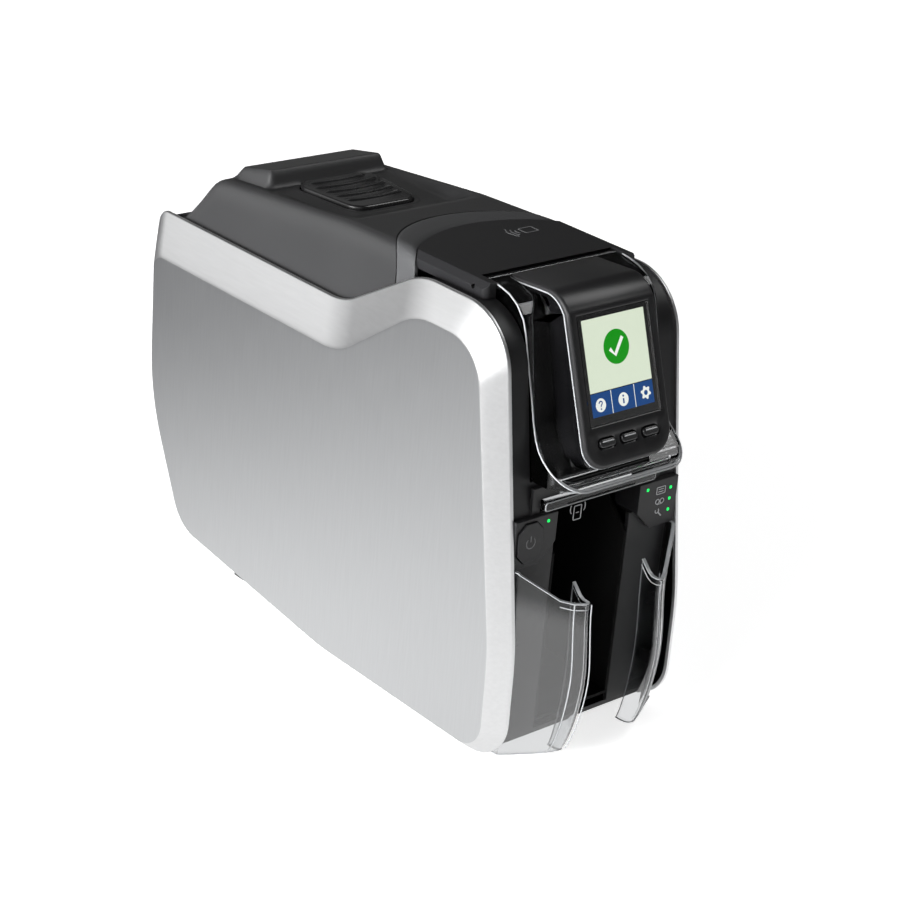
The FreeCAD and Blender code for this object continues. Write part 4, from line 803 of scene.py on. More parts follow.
@dataclass
class LidForm:
    """The moulded top surface that the lid and its front band share."""

    half: float = 64.0
    wall: float = 2.6
    side_reach: float = 11.0
    fullness: float = 2.8
    lap: float = 2.0
    rear_y: float = 181.0
    seam_rear: float = 195.0
    thinnest: float = 0.3
    shelf: float = 3.0
    scoop_z: float = 279.5
    scoop_side: Point2 = (43.0, 54.0)
    scoop_front: Point2 = (14.0, 42.0)
    scoop_rear: Point2 = (112.0, 122.0)
    block_z: float = 290.6
    block_y: float = 112.0
    block_fall: float = 0.19
    block_side: Point2 = (44.0, 50.5)
    block_front: Point2 = (107.0, 113.5)
    block_rear: Point2 = (141.0, 150.0)
    side_steps: int = 10
    ridge_corners: tuple[Corner, ...] = (
        (181.0, 240.5, 0.0), (152.0, 276.0, 20.0), (20.0, 288.0, 200.0), (-66.0, 291.0, 0.0), (-66.0, 200.0, 0.0))

    def __post_init__(self) -> None:
        """Works out the seam and the ridge line."""
        self.seam_line = [(y, z - self.lap) for y, z in rounded(PANEL_EDGE, 16) if z > 240.0]
        self.top_line = [point for point in rounded(self.ridge_corners, 12) if point[1] > 239.0]

    def seam(self, y: float) -> float:
        """Height of the lid's lower edge."""
        return reading(self.seam_line, min(y, self.seam_rear))

    def ridge(self, y: float) -> float:
        """Height of the lid top without scoop and block."""
        return reading(self.top_line, y)

    def top(self, x: float, y: float) -> float:
        """Height of the lid top with its scoop and its rear block.

        Args:
            x: place across the lid.
            y: place along the lid.

        Returns:
            The height in millimetres.
        """
        base = self.ridge(y)
        across = 1 - ease(abs(x), *self.scoop_side)
        along = ease(y, *self.scoop_front)
        base += (self.scoop_z - base) * across * along * (1 - ease(y, *self.scoop_rear))
        wide = 1 - ease(abs(x), *self.block_side)
        lift = ease(y, *self.block_front) * (1 - ease(y, *self.block_rear))
        block = self.block_z - max(y - self.block_y, 0.0) * self.block_fall
        return base + max(block - base, 0.0) * wide * lift

    def columns(self) -> list[Point2]:
        """Places across the lid as (x, share of the height between seam and top)."""
        edge = self.half - self.side_reach
        power = 2 / self.fullness
        half = [(edge + self.side_reach * out ** power, up ** power) for out, up in quarter(self.side_steps)[:-1]]
        inner = [edge - 1.5 * k for k in range(9)] + [39.0, 36.0] + [34.0 - 2.0 * k for k in range(17)]
        half += [(x, 1.0) for x in inner]
        return half + [(0.0, 1.0)] + [(-x, share) for x, share in reversed(half)]

    def point(self, x: float, share: float, y: float) -> Corner:
        """A point of the surface at one place across and along the lid."""
        seam = self.seam(y)
        high = self.ridge(y) if share < 1.0 else self.top(x, y)
        return (x, y, seam + max(high - seam, self.thinnest) * share)

    def under(self, point: Corner) -> Corner:
        """The inner point of the wall under an outer one."""
        x, y, z = point
        drop = self.wall if abs(x) < self.half - self.shelf else 0.0
        return (x * (self.half - self.wall) / self.half, y, z - drop)

    def bow(self, x: float, middle: float, side: float) -> float:
        """Where a plan arc across the lid lies at one x."""
        sag = middle - side
        radius = (self.half * self.half + sag * sag) / (2 * sag)
        return middle - radius + math.sqrt(radius * radius - x * x)


@dataclass
class PadPlan:
    """Plan of the release pad, which its well in the lid follows."""

    half: float = 32.0
    front_y: float = 47.0
    rear_y: float = 107.0
    taper: float = 0.2
    corner: float = 12.0

    def corners(self, grow: float = 0.0) -> list[Corner]:
        """Corner list of the plan, grown all round."""
        rear, front = self.half + grow, self.half * (1 - self.taper) + grow
        high, low = self.rear_y + grow, self.front_y - grow
        plan = ((rear, high), (-rear, high), (-front, low), (front, low))
        return [(x, y, self.corner) for x, y in plan]


@dataclass
class Lid:
    """Lid shell with its scoop, rear block, pad well, hinge arms, latch lugs and head rails."""

    form: LidForm = field(default_factory=LidForm)
    pad: PadPlan = field(default_factory=PadPlan)
    front_middle: float = -2.0
    front_side: float = -40.0
    front_rows: int = 14
    even_y: float = 6.0
    even_rows: int = 50
    rear_rows: tuple[float, ...] = (
        106.0, 107.0, 108.2, 109.4, 110.6, 111.8, 113.0, 114.5, 118.0, 124.0, 130.0, 136.0, 140.0, 142.0,
        144.0, 146.0, 148.0, 150.0, 152.5, 155.0, 158.0, 162.0, 166.0, 170.0, 174.0, 178.0, 181.0)
    opening: float = 1.6
    pad_gap: float = 0.4
    well_rise: float = 0.15
    well_wall: float = 2.9
    well_edge: float = 0.4
    well_low: float = 273.0
    well_floor: float = 275.6
    hub_half: float = 5.0
    hub_r: float = 1.5
    eye: Point2 = (184.0, 235.0)
    eye_r: float = 6.4
    pin_r: float = 3.05
    eye_x: Point2 = (53.0, 59.0)
    web: tuple[Point2, ...] = ((184.0, 241.2), (176.5, 246.0), (158.0, 265.5), (152.0, 260.0), (171.5, 240.0),
                               (178.6, 233.5), (178.4, 237.8), (180.6, 240.3))
    web_x: Point2 = (53.2, 58.8)
    lug: tuple[Corner, ...] = ((2.5, 252.0, 2.0), (2.5, 284.0, 0.0), (-10.5, 284.0, 0.0), (-10.5, 252.0, 2.0))
    lug_x: Point2 = (42.7, 45.5)
    rail: tuple[float, ...] = (29.0, 51.0, 246.0, 277.0)
    rail_x: Point2 = (27.2, 31.0)
    low_rear: float = 250.0
    lip_r: float = 0.7
    lip_out: float = 0.1
    lip_up: float = 0.5
    lip_ends: Point2 = (1.0, 3.0)
    lip_steps: int = 60

    def build(self) -> None:
        """Makes the lid shell and its inner features."""
        shell = Shell()
        grid = self._grid()
        upper = [shell.row(line) for line in grid]
        lower = [shell.row(self._below(point) for point in line) for line in grid]
        opening = rounded(self.pad.corners(self.opening), 6)
        for rows in (upper, lower):
            for first, second in zip(rows, rows[1:]):
                for i in range(len(first) - 1):
                    corners = [first[i], first[i + 1], second[i + 1], second[i]]
                    x, y = (sum(shell.points[c][axis] for c in corners) / 4 for axis in (0, 1))
                    if not self._inside(opening, x, y):
                        shell.cap(corners)
        shell.hem(upper, lower)
        self._well(shell)
        for side in Side:
            self._arm(shell, side)
            self._lip(shell, side)
        shell.piece("lid_cover", "lid", "black_case", ["lid_grey"], ["lid_shell"], 40.0)

    def _lip(self, shell: Shell, side: Side) -> None:
        """Rounded lip along the lower edge of one flank."""
        x = (self.form.half + self.lip_out) * side.value
        start, end = self.lip_ends
        run = self.form.rear_y - end - self.front_side
        places = [self.front_side + start + run * k / self.lip_steps for k in range(self.lip_steps + 1)]
        shell.bead([(x, y, self.form.seam(y) + self.lip_up) for y in places], self.lip_r)

    def _grid(self) -> list[list[Corner]]:
        """Rows of surface points from the band to the rear edge."""
        rows = []
        for k in range(self.front_rows):
            line = []
            for x, share in self.form.columns():
                start = self.form.bow(x, self.front_middle, self.front_side)
                line.append(self.form.point(x, share, start + (self.even_y - start) * k / self.front_rows))
            rows.append(line)
        places = [self.even_y + 2.0 * k for k in range(self.even_rows)] + list(self.rear_rows)
        return rows + [[self.form.point(x, share, y) for x, share in self.form.columns()] for y in places]

    def _below(self, point: Corner) -> Corner:
        """The inner point under an outer one, held off the rear edge where the top is low."""
        x, y, z = self.form.under(point)
        return (x, min(y, self.form.rear_y - self.form.wall) if point[2] < self.low_rear else y, z)

    @staticmethod
    def _inside(line: Sequence[Point2], x: float, y: float) -> bool:
        """Whether a plan point lies inside an outline."""
        inside = False
        for (x0, y0), (x1, y1) in zip(line, line[1:] + line[:1]):
            if (y0 > y) != (y1 > y) and x < x0 + (x1 - x0) * (y - y0) / (y1 - y0):
                inside = not inside
        return inside

    def _well(self, shell: Shell) -> None:
        """Wall and floor of the well round the release pad, with the hole for its stem."""
        high = self.form.scoop_z + self.well_rise
        wall, edge = self.well_wall, self.well_edge
        steps = ((wall, self.well_low), (wall, high - 0.3), (wall - edge, high), (edge, high), (0.0, high - edge),
                 (0.0, self.well_floor))
        rings = [shell.loop(rounded(self.pad.corners(self.pad_gap + grow), 8, 4), plan_place, z) for grow, z in steps]
        middle = (self.pad.front_y + self.pad.rear_y) / 2
        hole = rounded(stud(0.0, middle, self.hub_half, self.hub_r), 8, 4)
        rings += [shell.loop(hole, plan_place, z) for z in (self.well_floor, self.well_low)]
        shell.skin(rings + rings[:1], 0, True)

    def _arm(self, shell: Shell, side: Side) -> None:
        """Hinge arm, latch lug and head rail of one side."""

        def place(u: float, v: float, depth: float) -> Corner:
            """Side outline point at a depth on the arm's own side."""
            return (side.value * depth, u, v)

        eye, pin = (ring(*self.eye, radius, 28) for radius in (self.eye_r, self.pin_r))
        loops = [shell.loop(line, place, x) for line in (eye, pin) for x in self.eye_x]
        for first, second in ((0, 1), (1, 3), (3, 2), (2, 0)):
            shell.bridge(loops[first], loops[second], 0, True)
        shell.prism(self.web, place, *self.web_x)
        shell.prism(rounded(self.lug, 5), place, *self.lug_x)
        shell.prism(oblong(*self.rail), place, *self.rail_x)


@dataclass
class Band:
    """Lighter curved band that ends the lid in front."""

    form: LidForm = field(default_factory=LidForm)
    rear_middle: float = -2.5
    rear_side: float = -40.5
    front_middle: float = -27.6
    front_side: float = -56.6
    profile: tuple[Point2, ...] = ((0.0, 1.2), (0.02, 0.35), (0.06, 0.0), (0.3, -0.25), (0.6, -0.3), (0.85, -0.2),
                                   (0.96, 0.1), (0.99, 0.5), (1.0, 1.6))
    draw_in: float = 0.004
    flank_gain: float = 1.4

    def build(self) -> None:
        """Makes the band."""
        shell = Shell()
        rows = [[self._point(x, height, share, drop) for x, height in self.form.columns()]
                for share, drop in self.profile]
        upper = [shell.row(line) for line in rows]
        lower = [shell.row(self.form.under(point) for point in line) for line in rows]
        shell.skin(upper)
        shell.skin(lower)
        shell.hem(upper, lower)
        shell.piece("lid_front_band", "lid", "grey_band", ["grey_band"], ["lid_band"], 40.0)

    def _point(self, x: float, height: float, share: float, drop: float) -> Corner:
        """A point of the band's outer face.

        Args:
            x: place across.
            height: share of the height between seam and top.
            share: share of the way from the front edge to the rear edge.
            drop: depth under the lid's surface.

        Returns:
            The point.
        """
        front = self.form.bow(x, self.front_middle, self.front_side)
        rear = self.form.bow(x, self.rear_middle, self.rear_side)
        x, y, z = self.form.point(x, height, front + (rear - front) * share)
        return (x * (1 - max(drop, 0.0) * self.draw_in), y, z - drop * min(height * self.flank_gain, 1.0))


@dataclass
class DisplayFront:
    """The leaning plane of the display and where its keys lie on it."""

    top_y: float = -154.5
    top_z: float = 293.0
    chin_y: float = -188.5
    chin_z: float = 196.0
    key_z: float = 209.0
    key_pitch: float = 17.5

    def __post_init__(self) -> None:
        """Works out the forward run per drop and the slope length per rise."""
        self.slope = (self.top_y - self.chin_y) / (self.top_z - self.chin_z)
        self.length = math.hypot(1.0, self.slope)

    def at(self, x: float, z: float, depth: float) -> Corner:
        """A point at a height and at a depth under the front plane."""
        y = self.top_y - (self.top_z - z) * self.slope
        return (x, y + depth / self.length, z - depth * self.slope / self.length)

    def placer(self, z: float, way: float = 1.0) -> Placer:
        """Placer for (x, way along the slope) points from one height, upward or with way -1 downward."""
        return lambda u, v, depth: self.at(u, z + way * v / self.length, depth)


@dataclass
class Bezel:
    """Display housing: rounded brow, leaning face with its windows and a round-cornered foot."""

    front: DisplayFront = field(default_factory=DisplayFront)
    half: float = 35.0
    edge: float = 2.4
    foot_round: float = 15.0
    rear_y: float = -107.6
    rear_z: float = 290.3
    brow: float = 20.0
    brow_steps: int = 14
    foot_z: float = 195.0
    depth: float = 23.0
    rear_depth: float = 4.0
    window_top: float = 280.0
    window_low: float = 219.0
    window_half: float = 28.5
    window_gap: float = 0.2
    window_deep: float = 4.6
    key_half: float = 7.0
    key_tall: float = 3.2
    key_deep: float = 4.5
    over_window: float = 2.5
    seam_r: float = 0.45
    seam_out: Corner = (0.3, 0.6, -0.2)

    def build(self) -> None:
        """Makes the housing."""
        shell = Shell()
        path = self._path()
        flat = len(path) - 1
        sides: list[list[list[int]]] = []
        for sign in (side.value for side in Side):
            rims = [self._rim(shell, place, sign * self.half, (sign, 0.0), t / flat) for t, place in enumerate(path)]
            for place, x, (across, down) in self._foot(path[-1]):
                rims.append(self._rim(shell, place, sign * x, (sign * across, down), 1.0))
            shell.skin([rim[:2] for rim in rims], 3)
            shell.skin([rim[1:] for rim in rims])
            sides.append(rims)
        left, right = sides
        for k in range(len(left) - 1):
            for i in (-1, 0) if k < flat else (0,):
                shell.cap([left[k][i], left[k + 1][i], right[k + 1][i], right[k][i]])
        shell.skin([left[-1], right[-1]])
        shell.cap(left[0] + right[0][::-1])
        self._face(shell, [rim[-1] for rim in left[flat:] + right[flat:][::-1]])
        # A grey gloss bead along the seam of the rounded edge paints its highlight.
        out, ahead, lift = self.seam_out
        seam = [shell.points[rim[1]] for rim in left + right[::-1]]
        shell.bead([(x * (1 + out / self.half), y + ahead, z + lift) for x, y, z in seam], self.seam_r, 2)
        finishes = ("bezel_grey", "gloss_black", "lit_edge", "pocket_black")
        shell.piece("display_housing", "hopper_door", "gloss_black", finishes, ["display_bezel"], 40.0)

    def _path(self) -> list[Station]:
        """Side line from the rear top over the brow to the leaning face."""
        corners = [(self.rear_y, self.rear_z, 0.0), (self.front.top_y, self.front.top_z, self.brow),
                   (self.front.chin_y, self.front.chin_z, 0.0), (self.rear_y, self.front.chin_z, 0.0)]
        _, low_y, low_z = self.front.at(0.0, self.window_top + self.over_window, 0.0)
        line = [p for p in rounded(corners, self.brow_steps)[:self.brow_steps + 2] if p[1] > low_z]
        line.append((low_y, low_z))
        places = []
        for i, (y, z) in enumerate(line[:-1]):
            (y0, z0), (y1, z1) = beside(line, i)
            along = Vector((y1 - y0, z1 - z0)).normalized()
            places.append((y, z, -along.y, along.x))
        return places + [(low_y, low_z, 1 / self.front.length, -self.front.slope / self.front.length)]

    def _foot(self, start: Station) -> list[tuple[Station, float, Point2]]:
        """Stations down the flat face and round one lower corner to the middle of the foot.

        Args:
            start: the last place of the side line.

        Returns:
            For each station its place, its x and its outward direction as (across, down the face).
        """
        lean, bend = self.front.length, self.foot_round
        down = (start[1] - self.foot_z) * lean
        runs = [(self.half, (down - bend) * k / 12, (1.0, 0.0)) for k in range(1, 13)]
        runs += [(self.half - bend * (1 - c), down - bend * (1 - s), (c, s)) for c, s in quarter(10)[1:]]
        runs += [((self.half - bend) * (1 - k / 5), down, (0.0, 1.0)) for k in range(1, 5)]
        return [((*self.front.at(0.0, start[1] - run / lean, 0.0)[1:], *start[2:]), x, out) for x, run, out in runs]

    def _rim(self, shell: Shell, place: Station, x: float, out: Point2, share: float) -> list[int]:
        """Points over one place of the rounded edge, from deep in the door to the face.

        Args:
            shell: the piece.
            place: surface point and inward direction in the side plane.
            x: place of the edge across.
            out: outward direction as (across, down the face).
            share: 0 at the rear end and 1 on the leaning face.

        Returns:
            The point numbers, deepest first.
        """
        y, z, into_y, into_z = place
        deep = self.rear_depth + (self.depth - self.rear_depth) * share
        steps = [(0.0, deep)] + [(self.edge * (1 - c), self.edge * (1 - s)) for c, s in quarter(5)]
        points = []
        for inward, depth in steps:
            back = -inward * out[1]
            out_y, out_z = into_z * back, -into_y * back
            points.append((x - inward * out[0], y + into_y * depth + out_y, z + into_z * depth + out_z))
        return shell.row(points)

    def _face(self, shell: Shell, outline: list[int]) -> None:
        """The leaning face with holes for the glass and the keys, and the walls of the holes."""
        form = bmesh.new()
        numbers = {}
        keys = [self._key(shell, i * self.front.key_pitch) for i in (-1, 0, 1)]
        for line in (outline, self._window(shell), *keys):
            verts = [form.verts.new(shell.points[number]) for number in line]
            numbers.update(zip(verts, line))
            for pair in zip(verts, verts[1:] + verts[:1]):
                form.edges.new(pair)
        bmesh.ops.triangle_fill(form, use_beauty=True, edges=form.edges[:])
        for face in form.faces:
            shell.cap([numbers[vert] for vert in face.verts])
        form.free()

    def _hole(self, shell: Shell, corners: Sequence[Corner], z: float, deep: float, lip: float) -> list[int]:
        """Walls of one hole in the face with a small bevel round it.

        Args:
            shell: the piece.
            corners: the hole's corner list about its middle, across and up the slope.
            z: height of the middle.
            deep: depth of the walls.
            lip: width of the bevel.

        Returns:
            The ring of points on the face.
        """
        place = self.front.placer(z)
        rings = []
        for grow, depth in ((lip, 0.0), (0.0, lip), (0.0, deep)):
            rings.append(shell.loop(rounded(inset(corners, -grow), 6), place, depth))
        shell.skin(rings, 1, True)
        return rings[0]

    def _window(self, shell: Shell) -> list[int]:
        """Hole of the cover glass."""
        tall = (self.window_top - self.window_low) / 2 * self.front.length + self.window_gap
        wide = self.window_half + self.window_gap
        middle = (self.window_top + self.window_low) / 2
        return self._hole(shell, plate(-wide, wide, -tall, tall, 1.0), middle, self.window_deep, 0.4)

    def _key(self, shell: Shell, x: float) -> list[int]:
        """Hole of one menu key."""
        wide, tall = self.key_half, self.key_tall
        corners = plate(x - wide, x + wide, -tall, tall, tall - 0.01)
        return self._hole(shell, corners, self.front.key_z, self.key_deep, 0.5)


@dataclass
class Screen:
    """Display module with its ready page: a ticked disc over a bar with three plain icons."""

    front: DisplayFront = field(default_factory=DisplayFront)
    top_z: float = 277.5
    half: float = 24.9
    margin: float = 0.4
    bar: float = 43.4
    tall: float = 57.0
    seams: Point2 = (-8.9, 9.7)
    seam: float = 0.25
    mask_half: float = 28.2
    mask_over: float = 2.4
    mask_under: float = 61.8
    depth: float = 1.62
    body: float = 2.8
    relief: float = 0.05
    disc_down: float = 19.4
    disc_r: float = 10.2
    icon_down: float = 50.6
    icon_r: float = 4.0
    icons: tuple[float, ...] = (-17.8, 0.4, 18.7)
    cog_radii: Point2 = (4.1, 3.0)
    teeth: int = 6

    def build(self) -> None:
        """Makes the module and the page's marks."""
        shell = Shell()
        place = self.front.placer(self.top_z, -1.0)
        mask = oblong(-self.mask_half, self.mask_half, -self.mask_over, self.mask_under)
        shell.prism(mask, place, self.depth + self.body, self.depth, 4)
        shell.prism(oblong(-self.half, self.half, self.margin, self.bar - 0.5), place, *self._level(1), 0)
        (first, second), gap = self.seams, self.seam
        for x0, x1 in ((-self.half, first - gap), (first + gap, second - gap), (second + gap, self.half)):
            shell.prism(oblong(x0, x1, self.bar, self.tall), place, *self._level(1), 1)
        for x in self.seams:
            base, top = self._level(1)
            shell.prism(oblong(x - gap, x + gap, self.bar, self.tall), place, base, top - 0.01, 3)
        for x, down, radius, level, finish in self._discs():
            shell.prism(ring(x, down, radius, 40), place, *self._level(level), finish)
        for line, wide, finish in self._strokes():
            shell.stroke(line, wide, place, *self._level(3), finish)
        shell.prism(self._cog(), place, *self._level(2), 3)
        finishes = ("screen_light", "screen_blue", "screen_green", "screen_white", "gloss_black")
        shell.piece("ready_page", "hopper_door", "screen_light", finishes, ["lcd_screen"], 30.0)

    def _level(self, level: int) -> Point2:
        """Depths of a mark's back and face, where level 1 lies on the module."""
        return self.depth - (level - 1) * self.relief, self.depth - level * self.relief

    def _discs(self) -> list[tuple[float, float, float, int, int]]:
        """Round marks as (x, down, radius, level, finish)."""
        ask, note, cog = self.icons
        low = self.icon_down
        return [
            (0.0, self.disc_down, self.disc_r, 2, 2), (ask, low, self.icon_r, 2, 3), (note, low, self.icon_r, 2, 3),
            (ask, low + 2.3, 0.5, 3, 1), (note, low - 2.1, 0.65, 3, 1), (cog, low - 0.4, 1.5, 3, 1),
        ]

    def _strokes(self) -> list[tuple[list[Point2], float, int]]:
        """Drawn marks as (line, width, finish): the tick, the hook of the first icon and the bar of the second."""
        ask, note, _ = self.icons
        down, low = self.disc_down, self.icon_down
        tick = [(-5.4, down + 0.6), (-1.6, down + 4.6), (5.4, down - 5.0)]
        hook = [(ask - 1.3 * c, low - 1.0 - 1.25 * s) for c, s in arc(0.0, 0.0, 1.0, 0.0, 180.0, 8)]
        hook += [(ask + 0.2, low + 0.1), (ask, low + 1.1)]
        return [(tick, 2.3, 3), (hook, 0.75, 1), ([(note, low - 0.6), (note, low + 2.4)], 1.1, 1)]

    def _cog(self) -> list[Point2]:
        """Outline of the toothed wheel, four points for each tooth."""
        x, down, count = self.icons[2], self.icon_down - 0.4, self.teeth * 4
        turns = [(self.cog_radii[k % 4 // 2], math.tau * (k + 0.5) / count) for k in range(count)]
        return [(x + r * math.cos(a), down + r * math.sin(a)) for r, a in turns]


@dataclass
class MenuKeys:
    """Three bar keys under the screen, each with a raised white ridge that paints the highlight line along the key.
    """

    front: DisplayFront = field(default_factory=DisplayFront)
    half: float = 6.4
    tall: float = 2.5
    proud: float = 1.2
    deep: float = 3.0
    soft: float = 0.9
    highlight_ridge_in: float = 1.8
    highlight_ridge_low: float = 0.8
    highlight_ridge_high: float = 1.5

    def build(self) -> None:
        """Makes the keys."""
        place = self.front.placer(self.front.key_z)
        for i, name in enumerate(("left", "middle", "right")):
            shell = Shell()
            left, right = ((i - 1) * self.front.key_pitch + half for half in (-self.half, self.half))
            cap = plate(left, right, -self.tall, self.tall, self.tall - 0.01)
            shell.pillow(cap, place, self.deep, -self.proud, self.soft)
            # The white ridge paints the highlight line of the key's face.
            ridge = plate(left + self.highlight_ridge_in, right - self.highlight_ridge_in, self.highlight_ridge_low, self.highlight_ridge_high, 0.3)
            shell.pillow(ridge, place, 0.2 - self.proud, -self.proud - 0.2, 0.15, 1, 3)
            body = name + "_menu_button"
            shell.piece(name + "_menu_key", body, "button_grey", ("button_grey", "mark_white"), [body])


@dataclass
class Guards:
    """Clear card guards: bowed walls that curve back to their feet, with grey gloss beads along the rims, the edges
    and a line a step below the top, which paint the highlights of the clear edges.
    """

    base_y: float = -162.97
    shoulder_y: float = -171.97
    bend_y: float = -196.97
    front_y: float = -204.47
    rear_y: float = -183.97
    outer_x: float = 65.5
    bend_x: float = 38.0
    inner_x: float = 28.0
    wall: float = 2.2
    top_z: float = 131.0
    notch_z: float = 113.0
    notch_y: float = -192.97
    low_z: float = 12.0
    bottom_z: float = 7.0
    foot_y: float = -186.97
    curve_z: float = 82.0
    foot_share: float = 0.6
    top_lean: float = 0.13
    lean_z: float = 58.0
    levels: int = 14
    step: float = 4.0
    step_x: float = 50.0
    highlight_step_r: float = 0.35
    highlight_bead_r: float = 0.4
    highlight_bead_in: float = 0.2

    def build(self) -> None:
        """Makes both guards."""
        for side in Side:
            shell = Shell(side)
            rows = [shell.row(line) for line in self._rings()]
            shell.skin(rows[:self.levels])
            shell.skin(rows[self.levels:])
            shell.bridge(rows[self.levels - 1], rows[self.levels], 1)
            shell.bridge(rows[-1], rows[0], 1)
            for i in (0, -1):
                shell.cap([row[i] for row in rows], 1)
            self._beads(shell)
            node = side.name.lower() + "_card_guard"
            shell.piece(node + "_shell", "printer", "clear_shell", ("guard_clear", "lit_edge"), [node], 40.0)

    def _beads(self, shell: Shell) -> None:
        """Grey gloss beads that paint the highlights of the clear edges: both sides of the front, the rims, the rear
        ends and a line a step below the top rim.
        """
        outer = self._path(0.0)
        for x, y in ((self.inner_x + 1.0, self.front_y + 1.3), (self.bend_x - 0.3, self.bend_y - 0.1),
                     (self.bend_x - 2.6, self.bend_y + 3.0), (self.inner_x + 0.6, self.rear_y)):
            low, top = self._heights(y)
            rise = (top - low - 1.0) / self.levels
            shell.bead([self._at(x, y, low + 0.6 + rise * k) for k in range(self.levels + 1)], self.highlight_bead_r, 1)
        for end, lift in ((0, self.highlight_bead_in), (1, -self.highlight_bead_in)):
            shell.bead([self._at(x, y, self._heights(y)[end] + lift) for x, y in outer], self.highlight_bead_r, 1)
        # A second painted highlight line, a step below the top rim.
        step = [self._at(x, y, self._heights(y)[1] - self.step) for x, y in outer if x < self.step_x]
        shell.bead(step, self.highlight_step_r, 1)

    def _at(self, x: float, y: float, z: float) -> Corner:
        """A point of the plan at one height, drawn back toward the foot and a little at the top."""
        rise = part_way(z, self.bottom_z, self.curve_z)
        share = self.foot_share + (1 - self.foot_share) * (1 - (1 - rise) ** 2.2) ** 0.8
        share -= self.top_lean * ease(z, self.lean_z, self.notch_z)
        return (x, self.base_y + (y - self.base_y) * share, z)

    def _path(self, depth: float) -> list[Point2]:
        """Plan line of one face of the wall, from its rear inner end to the base.

        Args:
            depth: distance inside the outer face.

        Returns:
            The sampled plan points.
        """
        line = inset([
            (self.inner_x, self.rear_y, 0.0), (self.inner_x, self.front_y, 3.0), (self.bend_x, self.bend_y, 5.0),
            (self.outer_x, self.shoulder_y, 5.0), (self.outer_x, self.base_y, 0.0),
        ], depth)
        line[0] = (line[1][0], self.rear_y, 0.0)
        line[-1] = (line[-2][0], self.base_y, 0.0)
        return rounded(line, 5, 4)[:-3]

    def _heights(self, y: float) -> Point2:
        """Lower and upper rim at one depth of the plan."""
        top = self.notch_z + (self.top_z - self.notch_z) * part_way(y, self.notch_y, self.shoulder_y)
        share = part_way(y, self.foot_y, self.front_y)
        return self.bottom_z + (self.low_z - self.bottom_z) * (1 - math.sqrt(1 - share * share * 0.98)), top

    def _rings(self) -> list[list[Corner]]:
        """Rows round the wall: outer face low and high, inner face high and low."""
        outer, inner = self._path(0.0), self._path(self.wall)
        heights = [self._heights(y) for _, y in outer]
        order = [(k / (self.levels - 1)) ** 1.5 for k in range(self.levels)]
        return [
            [self._at(x, y, low + (top - low) * share) for (x, y), (low, top) in zip(line, heights)]
            for line, shares in ((outer, order), (inner, order[::-1])) for share in shares
        ]


@dataclass
class DoorHighlightBeads:
    """Grey gloss beads that paint the highlights along the edge of the clear door shell and along the stepped lip
    under the display.
    """

    half: float = 52.0
    corner: float = 18.0
    tip_y: float = -190.0
    tip_z: float = 183.6
    slope: float = 0.675
    highlight_bead_r: float = 0.55
    steps: int = 3
    step_in: Point2 = (1.2, 2.1)
    step_drop: float = 1.3
    highlight_step_r: float = 0.6
    flank: tuple[Point2, ...] = (
        (-112.0, 290.0), (-118.0, 289.4), (-126.5, 287.4), (-134.0, 283.2), (-140.4, 276.0), (-143.4, 268.5),
        (-148.0, 252.0), (-153.3, 233.0), (-157.3, 218.0), (-160.5, 208.6), (-164.0, 202.6), (-168.0, 198.6))

    def build(self) -> None:
        """Makes the edge bead and the step beads, both painted highlights."""
        shell = Shell()
        edge = [(-self.half, y, z) for y, z in self.flank] + [self._brim(a, 0.0, 0.0) for a in range(0, 91, 10)]
        # Painted highlight along the shell's edge, then one along each step of the lip.
        shell.bead(mirrored(edge), self.highlight_bead_r)
        first, pitch = self.step_in
        for step in range(self.steps):
            line = [self._brim(a, first + pitch * step, self.step_drop * step) for a in range(30, 91, 10)]
            shell.bead(mirrored(line), self.highlight_step_r)
        shell.piece("door_bright_edge", "hopper_door", "clear_shell", ["lit_edge"])

    def _brim(self, angle: float, depth: float, drop: float) -> Corner:
        """A point of the lip's rounded front, from its left side to the middle.

        Args:
            angle: degrees round the corner.
            depth: distance inside the outline.
            drop: distance below the edge.

        Returns:
            The point.
        """
        turn = math.radians(angle)
        reach = self.corner - depth
        x = -self.half + self.corner - reach * math.cos(turn)
        y = self.tip_y + self.corner - reach * math.sin(turn)
        return (x, y, self.tip_z + (y - self.tip_y) * self.slope * (1 - min(drop, 1.0)) - drop * 0.4)


@dataclass
class Visor:
    """Clear strip over the hand-feed slot, with bent ends, a grey gloss bead that paints the highlight of its edges
    and a dark sheet that paints the shade inside the slot.
    """

    half: float = 46.0
    y: float = -167.8
    low_z: float = 163.6
    high_z: float = 170.4
    thick: float = 5.5
    soft: float = 1.6
    corner: float = 2.5
    highlight_rim_in: float = 0.9
    highlight_rim_r: float = 0.4
    slot: tuple[float, ...] = (-28.0, 28.0, 165.2, 166.4, 0.5)

    def build(self) -> None:
        """Makes the strip."""
        shell = Shell()
        corners = plate(-self.half, self.half, self.low_z, self.high_z, self.corner)
        shell.pillow(corners, front_place, self.y + self.thick, self.y, self.soft)
        # Dark sheet over the slot: painted shade.
        shell.prism(rounded(plate(*self.slot), 3), front_place, self.y + 0.3, self.y - 0.05, 2)
        # Bead round the face: painted highlight of the strip's edges.
        rim = rounded(inset(corners, self.highlight_rim_in), 6)
        shell.bead([front_place(x, z, self.y + 0.3) for x, z in rim], self.highlight_rim_r, 1, True)
        finishes = ("guard_clear", "lit_edge", "cavity_black")
        shell.piece("slot_visor_strip", "printer", "grey_band", finishes, ["slot_visor"])


